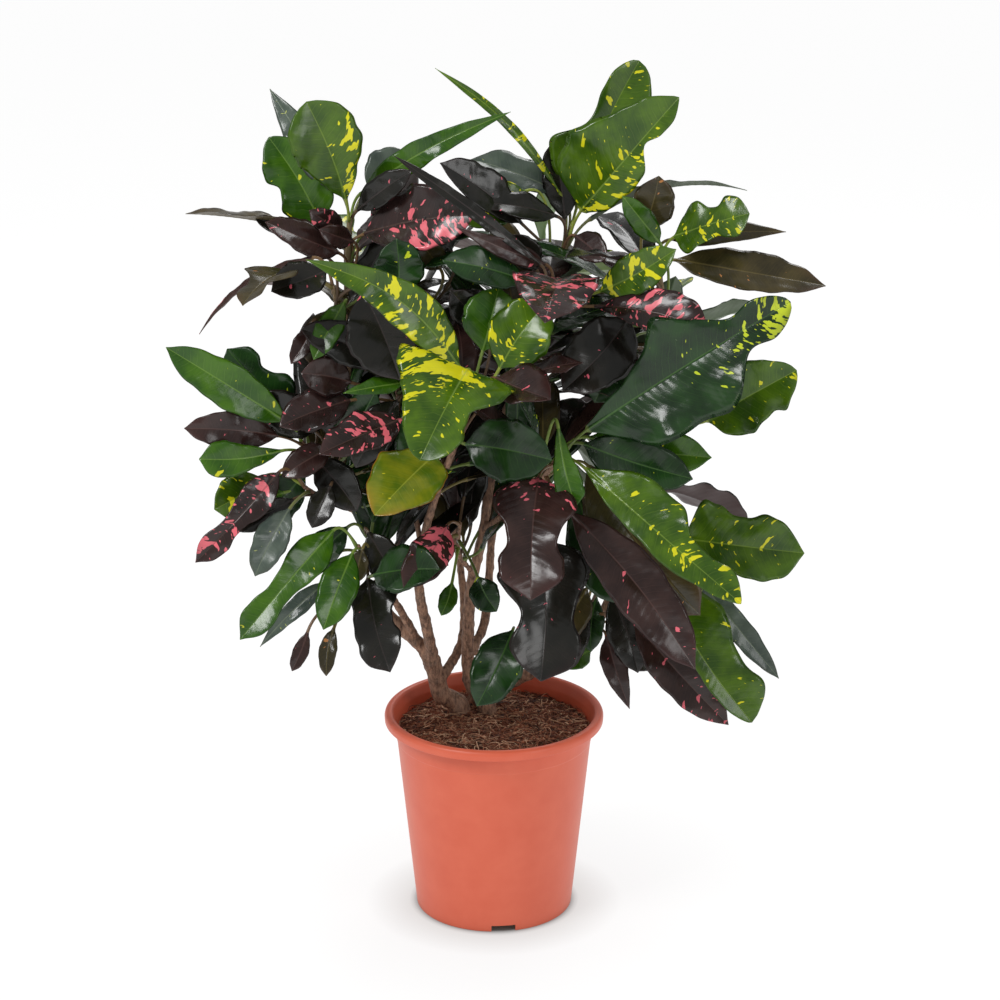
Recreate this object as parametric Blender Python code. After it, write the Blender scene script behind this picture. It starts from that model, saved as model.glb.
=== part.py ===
"""Potted croton: a bushy house plant on three woody stems, in a moulded nursery pot of potting mix.

The meshes are in metres, +Z up, with the origin at the centre of the pot's foot, on the surface
that the plant stands on. The plant's front looks along -Y. Stems and leaves are laid out in
centimetres, as a grower would measure them, and every leaf hangs by its petiole from a shoot.
"""

import math

import bmesh
import bpy
import numpy as np
from mathutils import Matrix

CM = 0.01
GAP = 0.0003

# Pot: thin moulded plastic with a turned-down rim and a raised floor on a foot ring
POT_HEIGHT = 0.207
POT_FOOT_RADIUS = 0.078
POT_NECK_RADIUS = 0.0985
POT_RIM_RADIUS = 0.109
POT_MOUTH_RADIUS = 0.1
POT_WALL = 0.0016
POT_FOOT_WIDTH = 0.003
RIM_DEPTH = 0.01
FLOOR_UNDERSIDE = 0.009
FLOOR_THICKNESS = 0.002
TURNED_SEGMENTS = 48
NOTCH_WIDTH = 0.024
NOTCH_HEIGHT = 0.007
NOTCH_COUNT = 3
FIRST_NOTCH_ANGLE = math.radians(-83)
DRAIN_COUNT = 6
DRAIN_RADIUS = 0.005
DRAIN_CIRCLE = 0.05

# Potting mix
SOIL_EDGE_HEIGHT = 0.188
SOIL_CROWN_HEIGHT = 0.193

# Leaves
PETIOLE_RADIUS = 0.0017
BLADE_THICKNESS = 0.0008
BLADE_FOLD = math.radians(14)
BLADE_STATIONS = 11
PETIOLE_STATIONS = 4
PETIOLE_KNEE = 0.4
PETIOLE_CLEARANCE = 0.0006
NODE_SPACING = 0.007

# Directions that a leaf's upper face looks in
FRONT = (0, -1, 0.35)
FRONT_UP = (0, -0.7, 0.7)
UP = (0, 0, 1)
EDGE_ON = (0, 0.33, 0.95)
BACK_UP = (0, 0.6, 0.8)

# Half-widths of a blade at nine even stations from petiole to tip, as shares of the widest.
# An uneven blade has a row for each side of its midrib, the left one first
OUTLINES = {
    "oval": (0.06, 0.50, 0.80, 0.96, 1.00, 0.95, 0.82, 0.56, 0.03),
    "obovate": (0.06, 0.32, 0.54, 0.75, 0.92, 1.00, 0.97, 0.74, 0.06),
    "lance": (0.06, 0.62, 0.92, 1.00, 0.92, 0.76, 0.56, 0.30, 0.02),
    "strap": (0.10, 0.55, 0.82, 0.96, 1.00, 0.95, 0.80, 0.50, 0.02),
    "fiddle": (0.06, 0.66, 0.98, 0.92, 0.66, 0.60, 0.80, 0.70, 0.03),
    "lobed": (0.06, 0.45, 0.95, 0.98, 0.52, 0.42, 0.48, 0.38, 0.03),
    "wavy_oval": (
        (0.10, 0.80, 1.00, 0.90, 0.75, 0.95, 0.90, 0.60, 0.05),
        (0.10, 0.70, 0.90, 1.00, 0.90, 0.75, 0.85, 0.55, 0.05),
    ),
    "wavy": (
        (0.10, 0.95, 1.00, 0.75, 0.70, 0.85, 0.75, 0.50, 0.03),
        (0.10, 0.60, 0.70, 0.70, 0.75, 0.80, 0.80, 0.60, 0.03),
    ),
    "two_lobed": (
        (0.06, 0.50, 0.90, 0.95, 0.45, 0.38, 0.42, 0.40, 0.04),
        (0.06, 0.50, 0.95, 1.00, 0.60, 0.55, 0.65, 0.55, 0.04),
    ),
    "oak_like": (
        (0.06, 0.18, 0.28, 0.48, 0.84, 0.50, 0.26, 0.32, 0.04),
        (0.06, 0.45, 0.74, 0.80, 0.84, 0.78, 0.32, 0.32, 0.04),
    ),
    "splayed": (
        (0.10, 0.75, 0.85, 0.80, 0.42, 0.42, 0.50, 0.40, 0.02),
        (0.10, 0.86, 1.00, 0.90, 0.72, 0.60, 0.52, 0.35, 0.02),
    ),
    "notched": (
        (0.06, 0.55, 0.90, 1.00, 1.00, 0.50, 0.45, 0.55, 0.02),
        (0.06, 0.25, 0.40, 0.50, 0.55, 0.60, 0.50, 0.35, 0.02),
    ),
    "half_folded": (
        (0.06, 0.60, 0.85, 0.95, 0.80, 0.68, 0.72, 0.75, 0.02),
        (0.06, 0.20, 0.25, 0.25, 0.28, 0.30, 0.30, 0.25, 0.02),
    ),
    "half_turned": (
        (0.10, 0.75, 0.95, 1.00, 0.90, 0.75, 0.55, 0.40, 0.03),
        (0.10, 0.35, 0.40, 0.45, 0.42, 0.10, 0.20, 0.20, 0.02),
    ),
}

# Colour of each kind of leaf, as linear RGB
SKINS = {
    "bright_green": (0.070, 0.190, 0.020),
    "dark_green": (0.018, 0.055, 0.014),
    "splashed_yellow": (0.110, 0.190, 0.020),
    "golden": (0.260, 0.300, 0.030),
    "near_black": (0.014, 0.010, 0.012),
    "wine": (0.055, 0.012, 0.020),
    "pink_splashed": (0.150, 0.040, 0.045),
    "slate": (0.110, 0.105, 0.100),
    "olive": (0.055, 0.055, 0.014),
}

# Shoots: the stem that each belongs to, its path in centimetres, and its first and last radius
SHOOTS = {
    "trunk_left": (
        "stem_left",
        ((-3.5, 3, 14), (-3.5, 3, 19.6), (-5.2, 2.3, 21.3), (-5.7, 2, 23.2), (-6.2, 1.6, 25.5)),
        (1.05, 0.85),
    ),
    "upper_left": (
        "stem_left",
        (
            (-5.7, 2, 23.2),
            (-7.2, 2, 26.6),
            (-10.8, 1.2, 31),
            (-10.6, 0.3, 37),
            (-14.6, -0.5, 44),
            (-14.2, 0, 50),
            (-14, 0, 57),
            (-14, 0, 63),
            (-13.6, 0, 71),
        ),
        (0.78, 0.28),
    ),
    "low_left": (
        "stem_left",
        ((-7.6, 2, 27.2), (-9.2, 0, 31.2), (-11, -4, 36), (-13, -7, 40.5)),
        (0.48, 0.24),
    ),
    "high_left": ("stem_left", ((-14, 0, 56), (-14.6, -2.5, 61), (-15, -4.5, 65.5)), (0.3, 0.2)),
    "left": ("stem_left", ((-14.2, -0.3, 43), (-16.5, -3, 47), (-18.5, -4.5, 50.5)), (0.3, 0.2)),
    "lower_left": (
        "stem_left",
        ((-13.2, -0.2, 41.6), (-16, -4, 44), (-18, -7, 46.5)),
        (0.3, 0.2),
    ),
    "front": (
        "stem_left",
        (
            (-5.8, 2, 23.6),
            (-6.6, 0.6, 29),
            (-7.3, -1.5, 34),
            (-6.8, -4, 40),
            (-5, -7, 47),
            (-3, -9.5, 53),
            (-1.8, -10.8, 57.5),
        ),
        (0.66, 0.24),
    ),
    "centre_left": (
        "stem_left",
        ((-6.9, -3.6, 39), (-8.6, -3.6, 48), (-9.2, -3.8, 57), (-9, -4, 63.5)),
        (0.3, 0.18),
    ),
    "back_left": (
        "stem_left",
        (
            (-5.6, 2, 22.8),
            (-3.6, 3.6, 25.5),
            (-3, 5, 29),
            (-3.8, 7, 36),
            (-6.5, 9.5, 46),
            (-10, 11.5, 55),
            (-12, 12.5, 61.5),
        ),
        (0.55, 0.22),
    ),
    "back_low_left": (
        "stem_left",
        ((-6, 9.1, 44.5), (-11.5, 10.5, 45.5), (-16.5, 11, 47.5)),
        (0.28, 0.18),
    ),
    "top": (
        "stem_centre",
        (
            (-0.7, 3, 14),
            (-0.7, 3, 19.6),
            (-2.3, 3, 22.1),
            (-2.6, 2.4, 26.7),
            (-2.2, 1.2, 33.5),
            (-1, 0, 39.6),
            (0.5, 0, 50),
            (3, 0.5, 58),
            (6, 1.5, 65),
            (7.4, 2, 69.5),
        ),
        (0.95, 0.24),
    ),
    "middle": (
        "stem_centre",
        ((0.4, 0, 49.5), (2.5, -3, 57), (4.5, -5, 62), (5, -6, 66)),
        (0.32, 0.2),
    ),
    "front_right": (
        "stem_centre",
        ((-1, 0, 39.6), (1.5, -4, 43), (4.5, -8, 47.5), (6.8, -10.5, 51.5)),
        (0.42, 0.24),
    ),
    "low_front": (
        "stem_centre",
        ((-2, 1, 34.8), (-3.4, -2.5, 38), (-3.2, -6, 42.5)),
        (0.28, 0.18),
    ),
    "back": (
        "stem_centre",
        (
            (-2.6, 2.4, 25.5),
            (-0.9, 4.4, 28.5),
            (-0.2, 6.3, 36.6),
            (1, 8.5, 43),
            (2.5, 11, 52),
            (4, 13.5, 62.5),
        ),
        (0.55, 0.22),
    ),
    "back_low": ("stem_centre", ((0.6, 8, 41.5), (1.6, 12.5, 44), (2, 16.5, 47.5)), (0.28, 0.18)),
    "low_centre": (
        "stem_centre",
        ((-2.6, 2.4, 25.5), (-0.8, -1.5, 27.6), (1.4, -5.6, 29.8)),
        (0.26, 0.18),
    ),
    "upper_right": (
        "stem_right",
        (
            (-1.8, 5.4, 14),
            (-1.8, 5.4, 19.6),
            (0.9, 4.9, 21.2),
            (4.1, 3.4, 23.4),
            (7.2, 1.6, 25.4),
            (10, 1, 29),
            (12.3, 0.5, 35),
            (15.4, 0, 45),
            (17, 0, 52),
            (16.4, -0.8, 60),
            (15.5, -2, 67.5),
        ),
        (0.85, 0.24),
    ),
    "low_right": ("stem_right", ((7.2, 1.6, 25.4), (8.2, -0.8, 28), (10, -1.5, 31.5)), (0.3, 0.2)),
    "back_right": (
        "stem_right",
        ((15, 0.2, 43.8), (16.5, 6, 49), (16, 12, 55)),
        (0.32, 0.2),
    ),
    "back_low_right": (
        "stem_right",
        ((11.8, 0.6, 33.5), (14.5, 6, 36.5), (15, 11, 40)),
        (0.3, 0.2),
    ),
}

# Leaves of each shoot, from its tip down: where the blade starts and ends, its full width (cm),
# the way its upper face looks, how far the midrib bows to that side (as a share of the blade's
# length), its outline and its kind
LEAVES = {
    "upper_left": (
        ((-13.9, -1, 73), (-17.3, -3, 82.7), 7, FRONT, 0.03, "obovate", "splashed_yellow"),
        ((-16.5, 2, 70), (-21.3, 3, 78), 5.4, FRONT, 0.04, "wavy_oval", "bright_green"),
        ((-12.6, 1, 73), (1.6, -1, 81.3), 2.6, FRONT, 0.1, "lance", "bright_green"),
        ((-12.2, -1.5, 69.7), (-1.7, -5.8, 72.6), 6.6, FRONT_UP, 0.03, "oval", "pink_splashed"),
        ((-16.5, 1, 69), (-29.3, 2, 70.8), 5, EDGE_ON, 0.03, "oval", "olive"),
    ),
    "top": (
        ((8, 4.5, 71), (13.8, 6, 84.8), 9.2, FRONT, 0.03, "two_lobed", "splashed_yellow"),
        ((8.4, 1, 71.5), (17.2, -2, 82.9), 11.2, FRONT, 0.04, "half_turned", "splashed_yellow"),
        ((9.2, 2, 70.3), (23.8, -1, 73.8), 3.4, EDGE_ON, 0.11, "lance", "slate"),
        ((6.3, 3.4, 72.5), (-5.5, 3, 84.6), 1, FRONT, 0.06, "strap", "splashed_yellow"),
        ((2.6, 0, 70.4), (-5, -2.6, 76.8), 4.4, FRONT_UP, 0.03, "oval", "near_black"),
    ),
    "upper_right": (
        ((17, -2.2, 69.6), (23.7, -6, 72.8), 5.4, FRONT_UP, 0.03, "fiddle", "splashed_yellow"),
        ((17, -3, 67.6), (31.1, -5, 65.6), 4.6, FRONT_UP, 0.05, "oval", "olive"),
        ((12.7, -6, 62.8), (6.4, -11.5, 57.3), 6.2, FRONT, 0.06, "oval", "near_black"),
        ((20.6, -1, 51.2), (28.8, -3, 56.8), 6.6, FRONT, 0.04, "wavy_oval", "splashed_yellow"),
        ((18.4, -3, 39.8), (29.9, -5, 39), 8, FRONT, 0.04, "wavy", "splashed_yellow"),
        ((16.2, -6, 36.4), (24.8, -11, 23.9), 8.8, FRONT, 0.06, "half_folded", "splashed_yellow"),
    ),
    "middle": (
        ((4.4, -6.3, 68), (-9.2, -6, 78.3), 1.4, FRONT, 0.05, "strap", "near_black"),
        ((6, -7, 66.8), (4.6, -19, 66), 8.2, UP, 0.08, "oval", "pink_splashed"),
        ((10, -5.6, 65.3), (16.8, -9, 70.2), 4, FRONT, 0.03, "oval", "splashed_yellow"),
        ((9.4, -7, 64.2), (19.7, -12.5, 63.5), 4.8, FRONT_UP, 0.05, "obovate", "pink_splashed"),
    ),
    "high_left": (
        ((-19, -6.5, 67.5), (-22.8, -14, 66.2), 5.6, UP, 0.06, "lobed", "olive"),
        ((-17, -4.5, 68.2), (-27.6, -6, 61.2), 1.8, (-0.5, 0.5, 0.8), 0.1, "lance", "pink_splashed"),
        ((-12.2, -5.6, 65.2), (-8.7, -9, 57.6), 7, FRONT, 0.05, "oval", "near_black"),
    ),
    "front": (
        ((-3.2, -11, 59.6), (-17, -13.5, 70.4), 4.4, FRONT, 0.05, "lance", "splashed_yellow"),
        ((-2.4, -12.4, 59.6), (-6.6, -21, 53.7), 12.6, FRONT_UP, 0.1, "splayed", "splashed_yellow"),
        ((0.6, -11.3, 59.5), (4.9, -9.5, 65.2), 6, FRONT, 0.04, "oval", "splashed_yellow"),
        ((-2.6, -11.6, 52.2), (5.4, -14.5, 51.6), 6, FRONT, 0.05, "oval", "dark_green"),
        ((-5.4, -12.4, 51.4), (-10.8, -20, 48.1), 6.8, FRONT_UP, 0.06, "oval", "golden"),
    ),
    "centre_left": (
        ((-9, -5.8, 65.1), (-9, -6.6, 70.6), 4.8, FRONT, 0.05, "oval", "dark_green"),
        ((-8.6, -11, 54.4), (-16, -16, 52.6), 4.6, FRONT_UP, 0.06, "oval", "pink_splashed"),
    ),
    "left": (
        ((-19.6, -6, 52.6), (-30.6, -7.6, 60.4), 4.3, FRONT, 0.04, "oval", "bright_green"),
        ((-20.4, -6, 51.2), (-29, -9, 52.9), 3.6, FRONT, 0.05, "oval", "wine"),
    ),
    "lower_left": (
        ((-20.2, -8.4, 48.4), (-28, -12.5, 40.8), 3.4, FRONT, 0.05, "fiddle", "pink_splashed"),
    ),
    "low_left": (
        ((-15.2, -8.6, 42.6), (-23.8, -15, 34), 4, FRONT, 0.06, "fiddle", "bright_green"),
        ((-12, -8, 37.4), (-9.8, -13, 29.9), 5.4, FRONT, 0.06, "wavy", "near_black"),
    ),
    "low_front": (
        ((-4.4, -8, 42.9), (-8.5, -13, 38.4), 4, FRONT, 0.08, "oval", "wine"),
    ),
    "front_right": (
        ((8.8, -12, 53.8), (27, -14, 66.6), 13.6, FRONT, 0.03, "oak_like", "dark_green"),
        ((8.6, -13, 50.2), (22.6, -22, 40.2), 6.8, FRONT, 0.06, "notched", "splashed_yellow"),
        ((7.2, -12, 45.6), (18.8, -18, 32.2), 5.4, FRONT, 0.06, "oval", "wine"),
        ((4.2, -12.6, 49.2), (3.4, -22, 40.6), 8, FRONT_UP, 0.08, "fiddle", "wine"),
        ((4.1, -10.4, 42.6), (4.4, -18, 31), 8.8, FRONT, 0.06, "fiddle", "near_black"),
    ),
    "low_right": (
        ((13.6, -4.6, 31.8), (22.7, -9, 22.8), 4.4, FRONT, 0.06, "oval", "wine"),
    ),
    "back_left": (
        ((-13.4, 14.6, 62.5), (-17.5, 22.2, 66), 6, BACK_UP, 0.05, "fiddle", "splashed_yellow"),
        ((-10.8, 14, 63.4), (-8.2, 16.5, 73.5), 5.6, BACK_UP, 0.04, "oval", "near_black"),
        ((-14.6, 13, 60), (-24.5, 17, 60), 5, BACK_UP, 0.05, "oval", "wine"),
    ),
    "back_low_left": (
        ((-18.8, 12.6, 47.4), (-26.5, 16.5, 44), 5.6, BACK_UP, 0.06, "lobed", "bright_green"),
        ((-16, 13.4, 47.6), (-14.5, 22, 42.5), 5.2, BACK_UP, 0.06, "oval", "near_black"),
    ),
    "back": (
        ((4.8, 15.6, 64), (8, 20.5, 72), 6.2, BACK_UP, 0.05, "oval", "bright_green"),
        ((2.2, 15.4, 62), (-4, 21.7, 62.5), 5.8, BACK_UP, 0.06, "fiddle", "wine"),
    ),
    "back_low": (
        ((3.2, 18.4, 46.8), (6, 21.8, 37), 6, BACK_UP, 0.08, "lobed", "dark_green"),
        ((0.4, 18.4, 47.6), (-6.5, 21.3, 43.5), 5.2, BACK_UP, 0.06, "oval", "pink_splashed"),
    ),
    "back_right": (
        ((18, 12.6, 55.6), (27.5, 14.5, 58.5), 6, BACK_UP, 0.05, "oval", "dark_green"),
        ((16.6, 14, 55.6), (19.5, 22, 59), 5.6, BACK_UP, 0.06, "fiddle", "splashed_yellow"),
    ),
    "back_low_right": (
        ((17, 12, 39.8), (26, 14.5, 35), 5.6, BACK_UP, 0.06, "oval", "near_black"),
    ),
}


def catmull_rom(values, count):
    """The values read at count even places, on cubic pieces that pass through every value."""
    values = np.asarray(values, dtype=float)
    place = np.linspace(0, len(values) - 1, count)
    first = np.minimum(place.astype(int), len(values) - 2)
    along = place - first
    if values.ndim > 1:
        along = along[:, None]
    a = values[np.maximum(first - 1, 0)]
    b = values[first]
    c = values[first + 1]
    d = values[np.minimum(first + 2, len(values) - 1)]
    slope_b = (c - a) / 2
    slope_c = (d - b) / 2
    cube = 2 * (b - c) + slope_b + slope_c
    square = 3 * (c - b) - 2 * slope_b - slope_c
    return ((cube * along + square) * along + slope_b) * along + b


def unit(vectors):
    return vectors / np.linalg.norm(vectors, axis=-1, keepdims=True)


def material(name, colour, roughness):
    made = bpy.data.materials.new(name)
    made.use_nodes = True
    shader = made.node_tree.nodes["Principled BSDF"]
    shader.inputs["Base Color"].default_value = (*colour, 1)
    shader.inputs["Roughness"].default_value = roughness
    shader.inputs["Metallic"].default_value = 0
    return made


def add_object(name, mesh, finish):
    made = bpy.data.objects.new(name, mesh)
    bpy.context.scene.collection.objects.link(made)
    if finish:
        mesh.materials.append(finish)
    return made


def ringed_mesh(name, rings):
    """A closed skin over rings of equally many points, with a fan over each end ring."""
    rings = np.asarray(rings)
    count, sides = rings.shape[:2]
    points = rings.reshape(-1, 3).tolist()
    faces = []
    for ring in range(count - 1):
        for side in range(sides):
            after = (side + 1) % sides
            low = ring * sides
            high = low + sides
            faces.append((low + side, low + after, high + after, high + side))
    faces.append(tuple(range(sides))[::-1])
    faces.append(tuple(range((count - 1) * sides, count * sides)))
    mesh = bpy.data.meshes.new(name)
    mesh.from_pydata(points, [], faces)
    shape = bmesh.new()
    shape.from_mesh(mesh)
    bmesh.ops.recalc_face_normals(shape, faces=shape.faces)
    bmesh.ops.triangulate(shape, faces=shape.faces)
    shape.to_mesh(mesh)
    shape.free()
    return mesh


def turned_mesh(name, profile):
    """A closed profile of (radius, height) points turned once about the Z axis."""
    shape = bmesh.new()
    corners = [shape.verts.new((radius, 0, height)) for radius, height in profile]
    edges = [shape.edges.new(pair) for pair in zip(corners, corners[1:] + corners[:1])]
    bmesh.ops.spin(
        shape,
        geom=corners + edges,
        axis=(0, 0, 1),
        cent=(0, 0, 0),
        angle=math.tau,
        steps=TURNED_SEGMENTS,
    )
    bmesh.ops.remove_doubles(shape, verts=shape.verts, dist=0.00001)
    bmesh.ops.dissolve_degenerate(shape, edges=shape.edges, dist=0.00001)
    bmesh.ops.recalc_face_normals(shape, faces=shape.faces)
    mesh = bpy.data.meshes.new(name)
    shape.to_mesh(mesh)
    shape.free()
    return mesh


def cut(target, cutter):
    """Takes the cutter's shape out of the target."""
    cutter.hide_render = True
    cutter.display_type = "WIRE"
    change = target.modifiers.new(f"cut_{cutter.name}", "BOOLEAN")
    change.operation = "DIFFERENCE"
    change.object = cutter


def pot_wall_radius(height):
    """Outer radius of the wall, which tapers evenly from the neck to the foot."""
    share = height / (POT_HEIGHT - RIM_DEPTH)
    return POT_FOOT_RADIUS + (POT_NECK_RADIUS - POT_FOOT_RADIUS) * share


def make_pot():
    """A tapered wall, a turned-down rim, and a raised floor inside the foot ring."""
    rim_foot = POT_HEIGHT - RIM_DEPTH
    rim_underside = POT_HEIGHT - 0.0028
    floor_top = FLOOR_UNDERSIDE + FLOOR_THICKNESS
    foot_inside = POT_FOOT_RADIUS - POT_FOOT_WIDTH
    profile = (
        (POT_FOOT_RADIUS, 0),
        (pot_wall_radius(floor_top), floor_top),
        (POT_NECK_RADIUS, rim_foot),
        (POT_MOUTH_RADIUS + 0.0018, rim_underside),
        (POT_RIM_RADIUS - 0.0022, rim_underside),
        (POT_RIM_RADIUS - POT_WALL, rim_foot),
        (POT_RIM_RADIUS - 0.0004, rim_foot),
        (POT_RIM_RADIUS, rim_foot + 0.002),
        (POT_RIM_RADIUS, POT_HEIGHT - 0.004),
        (POT_RIM_RADIUS - 0.0014, POT_HEIGHT - 0.0012),
        (POT_RIM_RADIUS - 0.0042, POT_HEIGHT),
        (POT_MOUTH_RADIUS + 0.0020, POT_HEIGHT - 0.0004),
        (POT_MOUTH_RADIUS, POT_HEIGHT - 0.0024),
        (POT_NECK_RADIUS - POT_WALL, rim_foot - 0.001),
        (pot_wall_radius(floor_top) - POT_WALL, floor_top),
        (0, floor_top),
        (0, FLOOR_UNDERSIDE),
        (foot_inside, FLOOR_UNDERSIDE),
        (foot_inside, 0),
    )
    finish = material("terracotta_plastic", (0.68, 0.155, 0.092), 0.45)
    pot = add_object("pot", turned_mesh("pot", profile), finish)
    shape = bmesh.new()
    for index in range(NOTCH_COUNT):
        turn = Matrix.Rotation(FIRST_NOTCH_ANGLE + index * math.tau / NOTCH_COUNT, 4, "Z")
        place = turn @ Matrix.Translation((POT_FOOT_RADIUS, 0, 0))
        size = Matrix.Diagonal((0.02, NOTCH_WIDTH, 2 * NOTCH_HEIGHT, 1))
        bmesh.ops.create_cube(shape, size=1, matrix=place @ size)
    for index in range(DRAIN_COUNT):
        turn = Matrix.Rotation(index * math.tau / DRAIN_COUNT, 4, "Z")
        place = turn @ Matrix.Translation((DRAIN_CIRCLE, 0, floor_top))
        bmesh.ops.create_cone(
            shape,
            cap_ends=True,
            segments=12,
            radius1=DRAIN_RADIUS,
            radius2=DRAIN_RADIUS,
            depth=0.01,
            matrix=place,
        )
    cutters = bpy.data.meshes.new("pot_openings")
    shape.to_mesh(cutters)
    shape.free()
    cut(pot, add_object("pot_openings", cutters, None))


def make_soil():
    """Potting mix that fills the pot, slightly mounded, with a socket for each stem's root end."""
    floor = FLOOR_UNDERSIDE + FLOOR_THICKNESS + GAP
    clearance = POT_WALL + 2 * GAP
    profile = (
        (pot_wall_radius(floor) - clearance, floor),
        (pot_wall_radius(SOIL_EDGE_HEIGHT) - clearance, SOIL_EDGE_HEIGHT),
        (0.065, SOIL_EDGE_HEIGHT + 0.003),
        (0.035, SOIL_CROWN_HEIGHT - 0.0005),
        (0, SOIL_CROWN_HEIGHT),
        (0, floor),
    )
    finish = material("potting_mix", (0.075, 0.030, 0.016), 0.95)
    soil = add_object("soil", turned_mesh("soil", profile), finish)
    shape = bmesh.new()
    for stem, path, radii in SHOOTS.values():
        x, y, root = (value * CM for value in path[0])
        if root > SOIL_EDGE_HEIGHT:
            continue
        socket = (radii[0] * CM + GAP) / math.cos(math.pi / 16)
        depth = POT_HEIGHT - root
        bmesh.ops.create_cone(
            shape,
            cap_ends=True,
            segments=16,
            radius1=socket,
            radius2=socket,
            depth=depth,
            matrix=Matrix.Translation((x, y, root - GAP + depth / 2)),
        )
    cutters = bpy.data.meshes.new("root_sockets")
    shape.to_mesh(cutters)
    shape.free()
    cut(soil, add_object("root_sockets", cutters, None))


def shoot_line(name):
    """Points along a shoot in metres, with its radius at each."""
    path = np.asarray(SHOOTS[name][1]) * CM
    first, last = (radius * CM for radius in SHOOTS[name][2])
    count = 2 * len(path) - 1
    radii = first + (last - first) * np.linspace(0, 1, count) ** 0.7
    line = catmull_rom(path, count)
    if line[0, 2] < SOIL_EDGE_HEIGHT:
        line[1] = (line[0] + line[2]) / 2
        radii[:3] = first
    return line, radii


def tube_mesh(name, line, radii, sides):
    """A closed tube: rings square to a line, each of its own radius."""
    tangents = unit(np.gradient(line, axis=0))
    across = unit(np.cross(tangents, (0.31, 0.95, 0.05)))
    upright = np.cross(tangents, across)
    angles = np.arange(sides) * math.tau / sides
    circle = across[:, None] * np.cos(angles)[:, None] + upright[:, None] * np.sin(angles)[:, None]
    return ringed_mesh(name, line[:, None] + circle * radii[:, None, None])


def make_stem(stem):
    """Every shoot of one stem as a tapered tube, united into a single branching body."""
    names = [name for name, shoot in SHOOTS.items() if shoot[0] == stem]
    finish = material(f"bark_{stem}", (0.115, 0.060, 0.038), 0.85)
    line, radii = shoot_line(names[0])
    body = add_object(stem, tube_mesh(stem, line, radii, 8), finish)
    for name in names[1:]:
        line, radii = shoot_line(name)
        branch = add_object(f"shoot_{name}", tube_mesh(name, line, radii, 6), None)
        branch.hide_render = True
        branch.display_type = "WIRE"
        join = body.modifiers.new(f"join_{name}", "BOOLEAN")
        join.operation = "UNION"
        join.object = branch


def petiole_start(shoot, rank, blade_start):
    """Where the stalk leaves the shoot: on the side that faces the blade, no nearer the shoot's
    tip than its rank allows, so that the leaves follow each other down the shoot."""
    line, radii = shoot_line(shoot)
    line = catmull_rom(line, 12 * len(line))
    radii = catmull_rom(radii, len(line))
    reach = np.linalg.norm(blade_start - line, axis=1)
    below = blade_start - (0, 0, 0.3 * reach.min())
    nearest = np.argmin(np.linalg.norm(below - line, axis=1))
    steps = np.linalg.norm(np.diff(line, axis=0), axis=1)
    to_tip = np.append(steps[::-1].cumsum()[::-1], 0)
    allowed = np.flatnonzero(to_tip >= NODE_SPACING * (rank + 0.3))[-1]
    place = min(nearest, allowed)
    tangent = unit(np.gradient(line, axis=0))[place]
    outward = blade_start - line[place]
    outward = unit(outward - tangent * np.dot(outward, tangent))
    return line[place] + outward * (radii[place] + PETIOLE_RADIUS + PETIOLE_CLEARANCE)


def make_leaf(shoot, rank, start, end, width, face, bow, outline, skin):
    """A petiole and a blade, as one lofted body with four corners to a ring.

    The midrib runs straight from start to end plus a parabola of height bow. Each half of the
    blade rises from it by the fold angle, and its width follows its side of the outline. The petiole is a
    quadratic curve from the shoot that meets the blade in the midrib's direction.
    """
    name = f"leaf_{shoot}_{rank + 1}"
    start = np.asarray(start) * CM
    end = np.asarray(end) * CM
    length = np.linalg.norm(end - start)
    along = (end - start) / length
    face = np.asarray(face, dtype=float)
    normal = unit(face - along * np.dot(face, along))
    side = np.cross(along, normal)
    share = np.linspace(0, 1, BLADE_STATIONS)
    hump = bow * length * 4 * share * (1 - share)
    midrib = start + along * (share * length)[:, None] + normal * hump[:, None]
    lobes = np.atleast_2d(OUTLINES[outline]) * width * CM / 2
    half_left, half_right = (
        np.maximum(catmull_rom(lobe, BLADE_STATIONS), 0.0004)[:, None] for lobe in lobes[[0, -1]]
    )
    reach = side * math.cos(BLADE_FOLD)
    rise = normal * math.sin(BLADE_FOLD)
    left = midrib + (rise - reach) * half_left
    right = midrib + (rise + reach) * half_right
    thick = PETIOLE_RADIUS + (BLADE_THICKNESS - PETIOLE_RADIUS) * np.minimum(4 * share, 1)
    top = midrib + normal * (thick / 2)[:, None]
    bottom = midrib - normal * (thick / 2)[:, None]
    blade = np.stack((left, top, right, bottom), axis=1)

    root = petiole_start(shoot, rank, start)
    knee = start - along * PETIOLE_KNEE * np.linalg.norm(start - root)
    share = np.linspace(0, 0.8, PETIOLE_STATIONS)[:, None]
    stalk = (1 - share) ** 2 * root + 2 * share * (1 - share) * knee + share**2 * start
    heading = unit((1 - share) * (knee - root) + share * (start - knee))
    across = unit(side - heading * np.sum(heading * side, axis=1, keepdims=True))
    upright = np.cross(across, heading)
    square = np.stack((-across, upright, across, -upright), axis=1) * PETIOLE_RADIUS
    petiole = stalk[:, None] + square
    finish = material(f"{skin}_{name}", SKINS[skin], 0.35)
    mesh = ringed_mesh(name, np.concatenate((petiole, blade)))
    add_object(name, mesh, finish)


def clear_scene():
    for item in list(bpy.data.objects):
        bpy.data.objects.remove(item, do_unlink=True)


def shade_smooth(sharp_angle):
    for item in bpy.context.scene.objects:
        item.data.shade_smooth()
        item.data.set_sharp_from_angle(angle=sharp_angle)


clear_scene()
make_pot()
make_soil()
for stem_name in ("stem_left", "stem_centre", "stem_right"):
    make_stem(stem_name)
for shoot_name, leaves in LEAVES.items():
    for leaf_rank, leaf in enumerate(leaves):
        make_leaf(shoot_name, leaf_rank, *leaf)
shade_smooth(math.radians(35))
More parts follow.
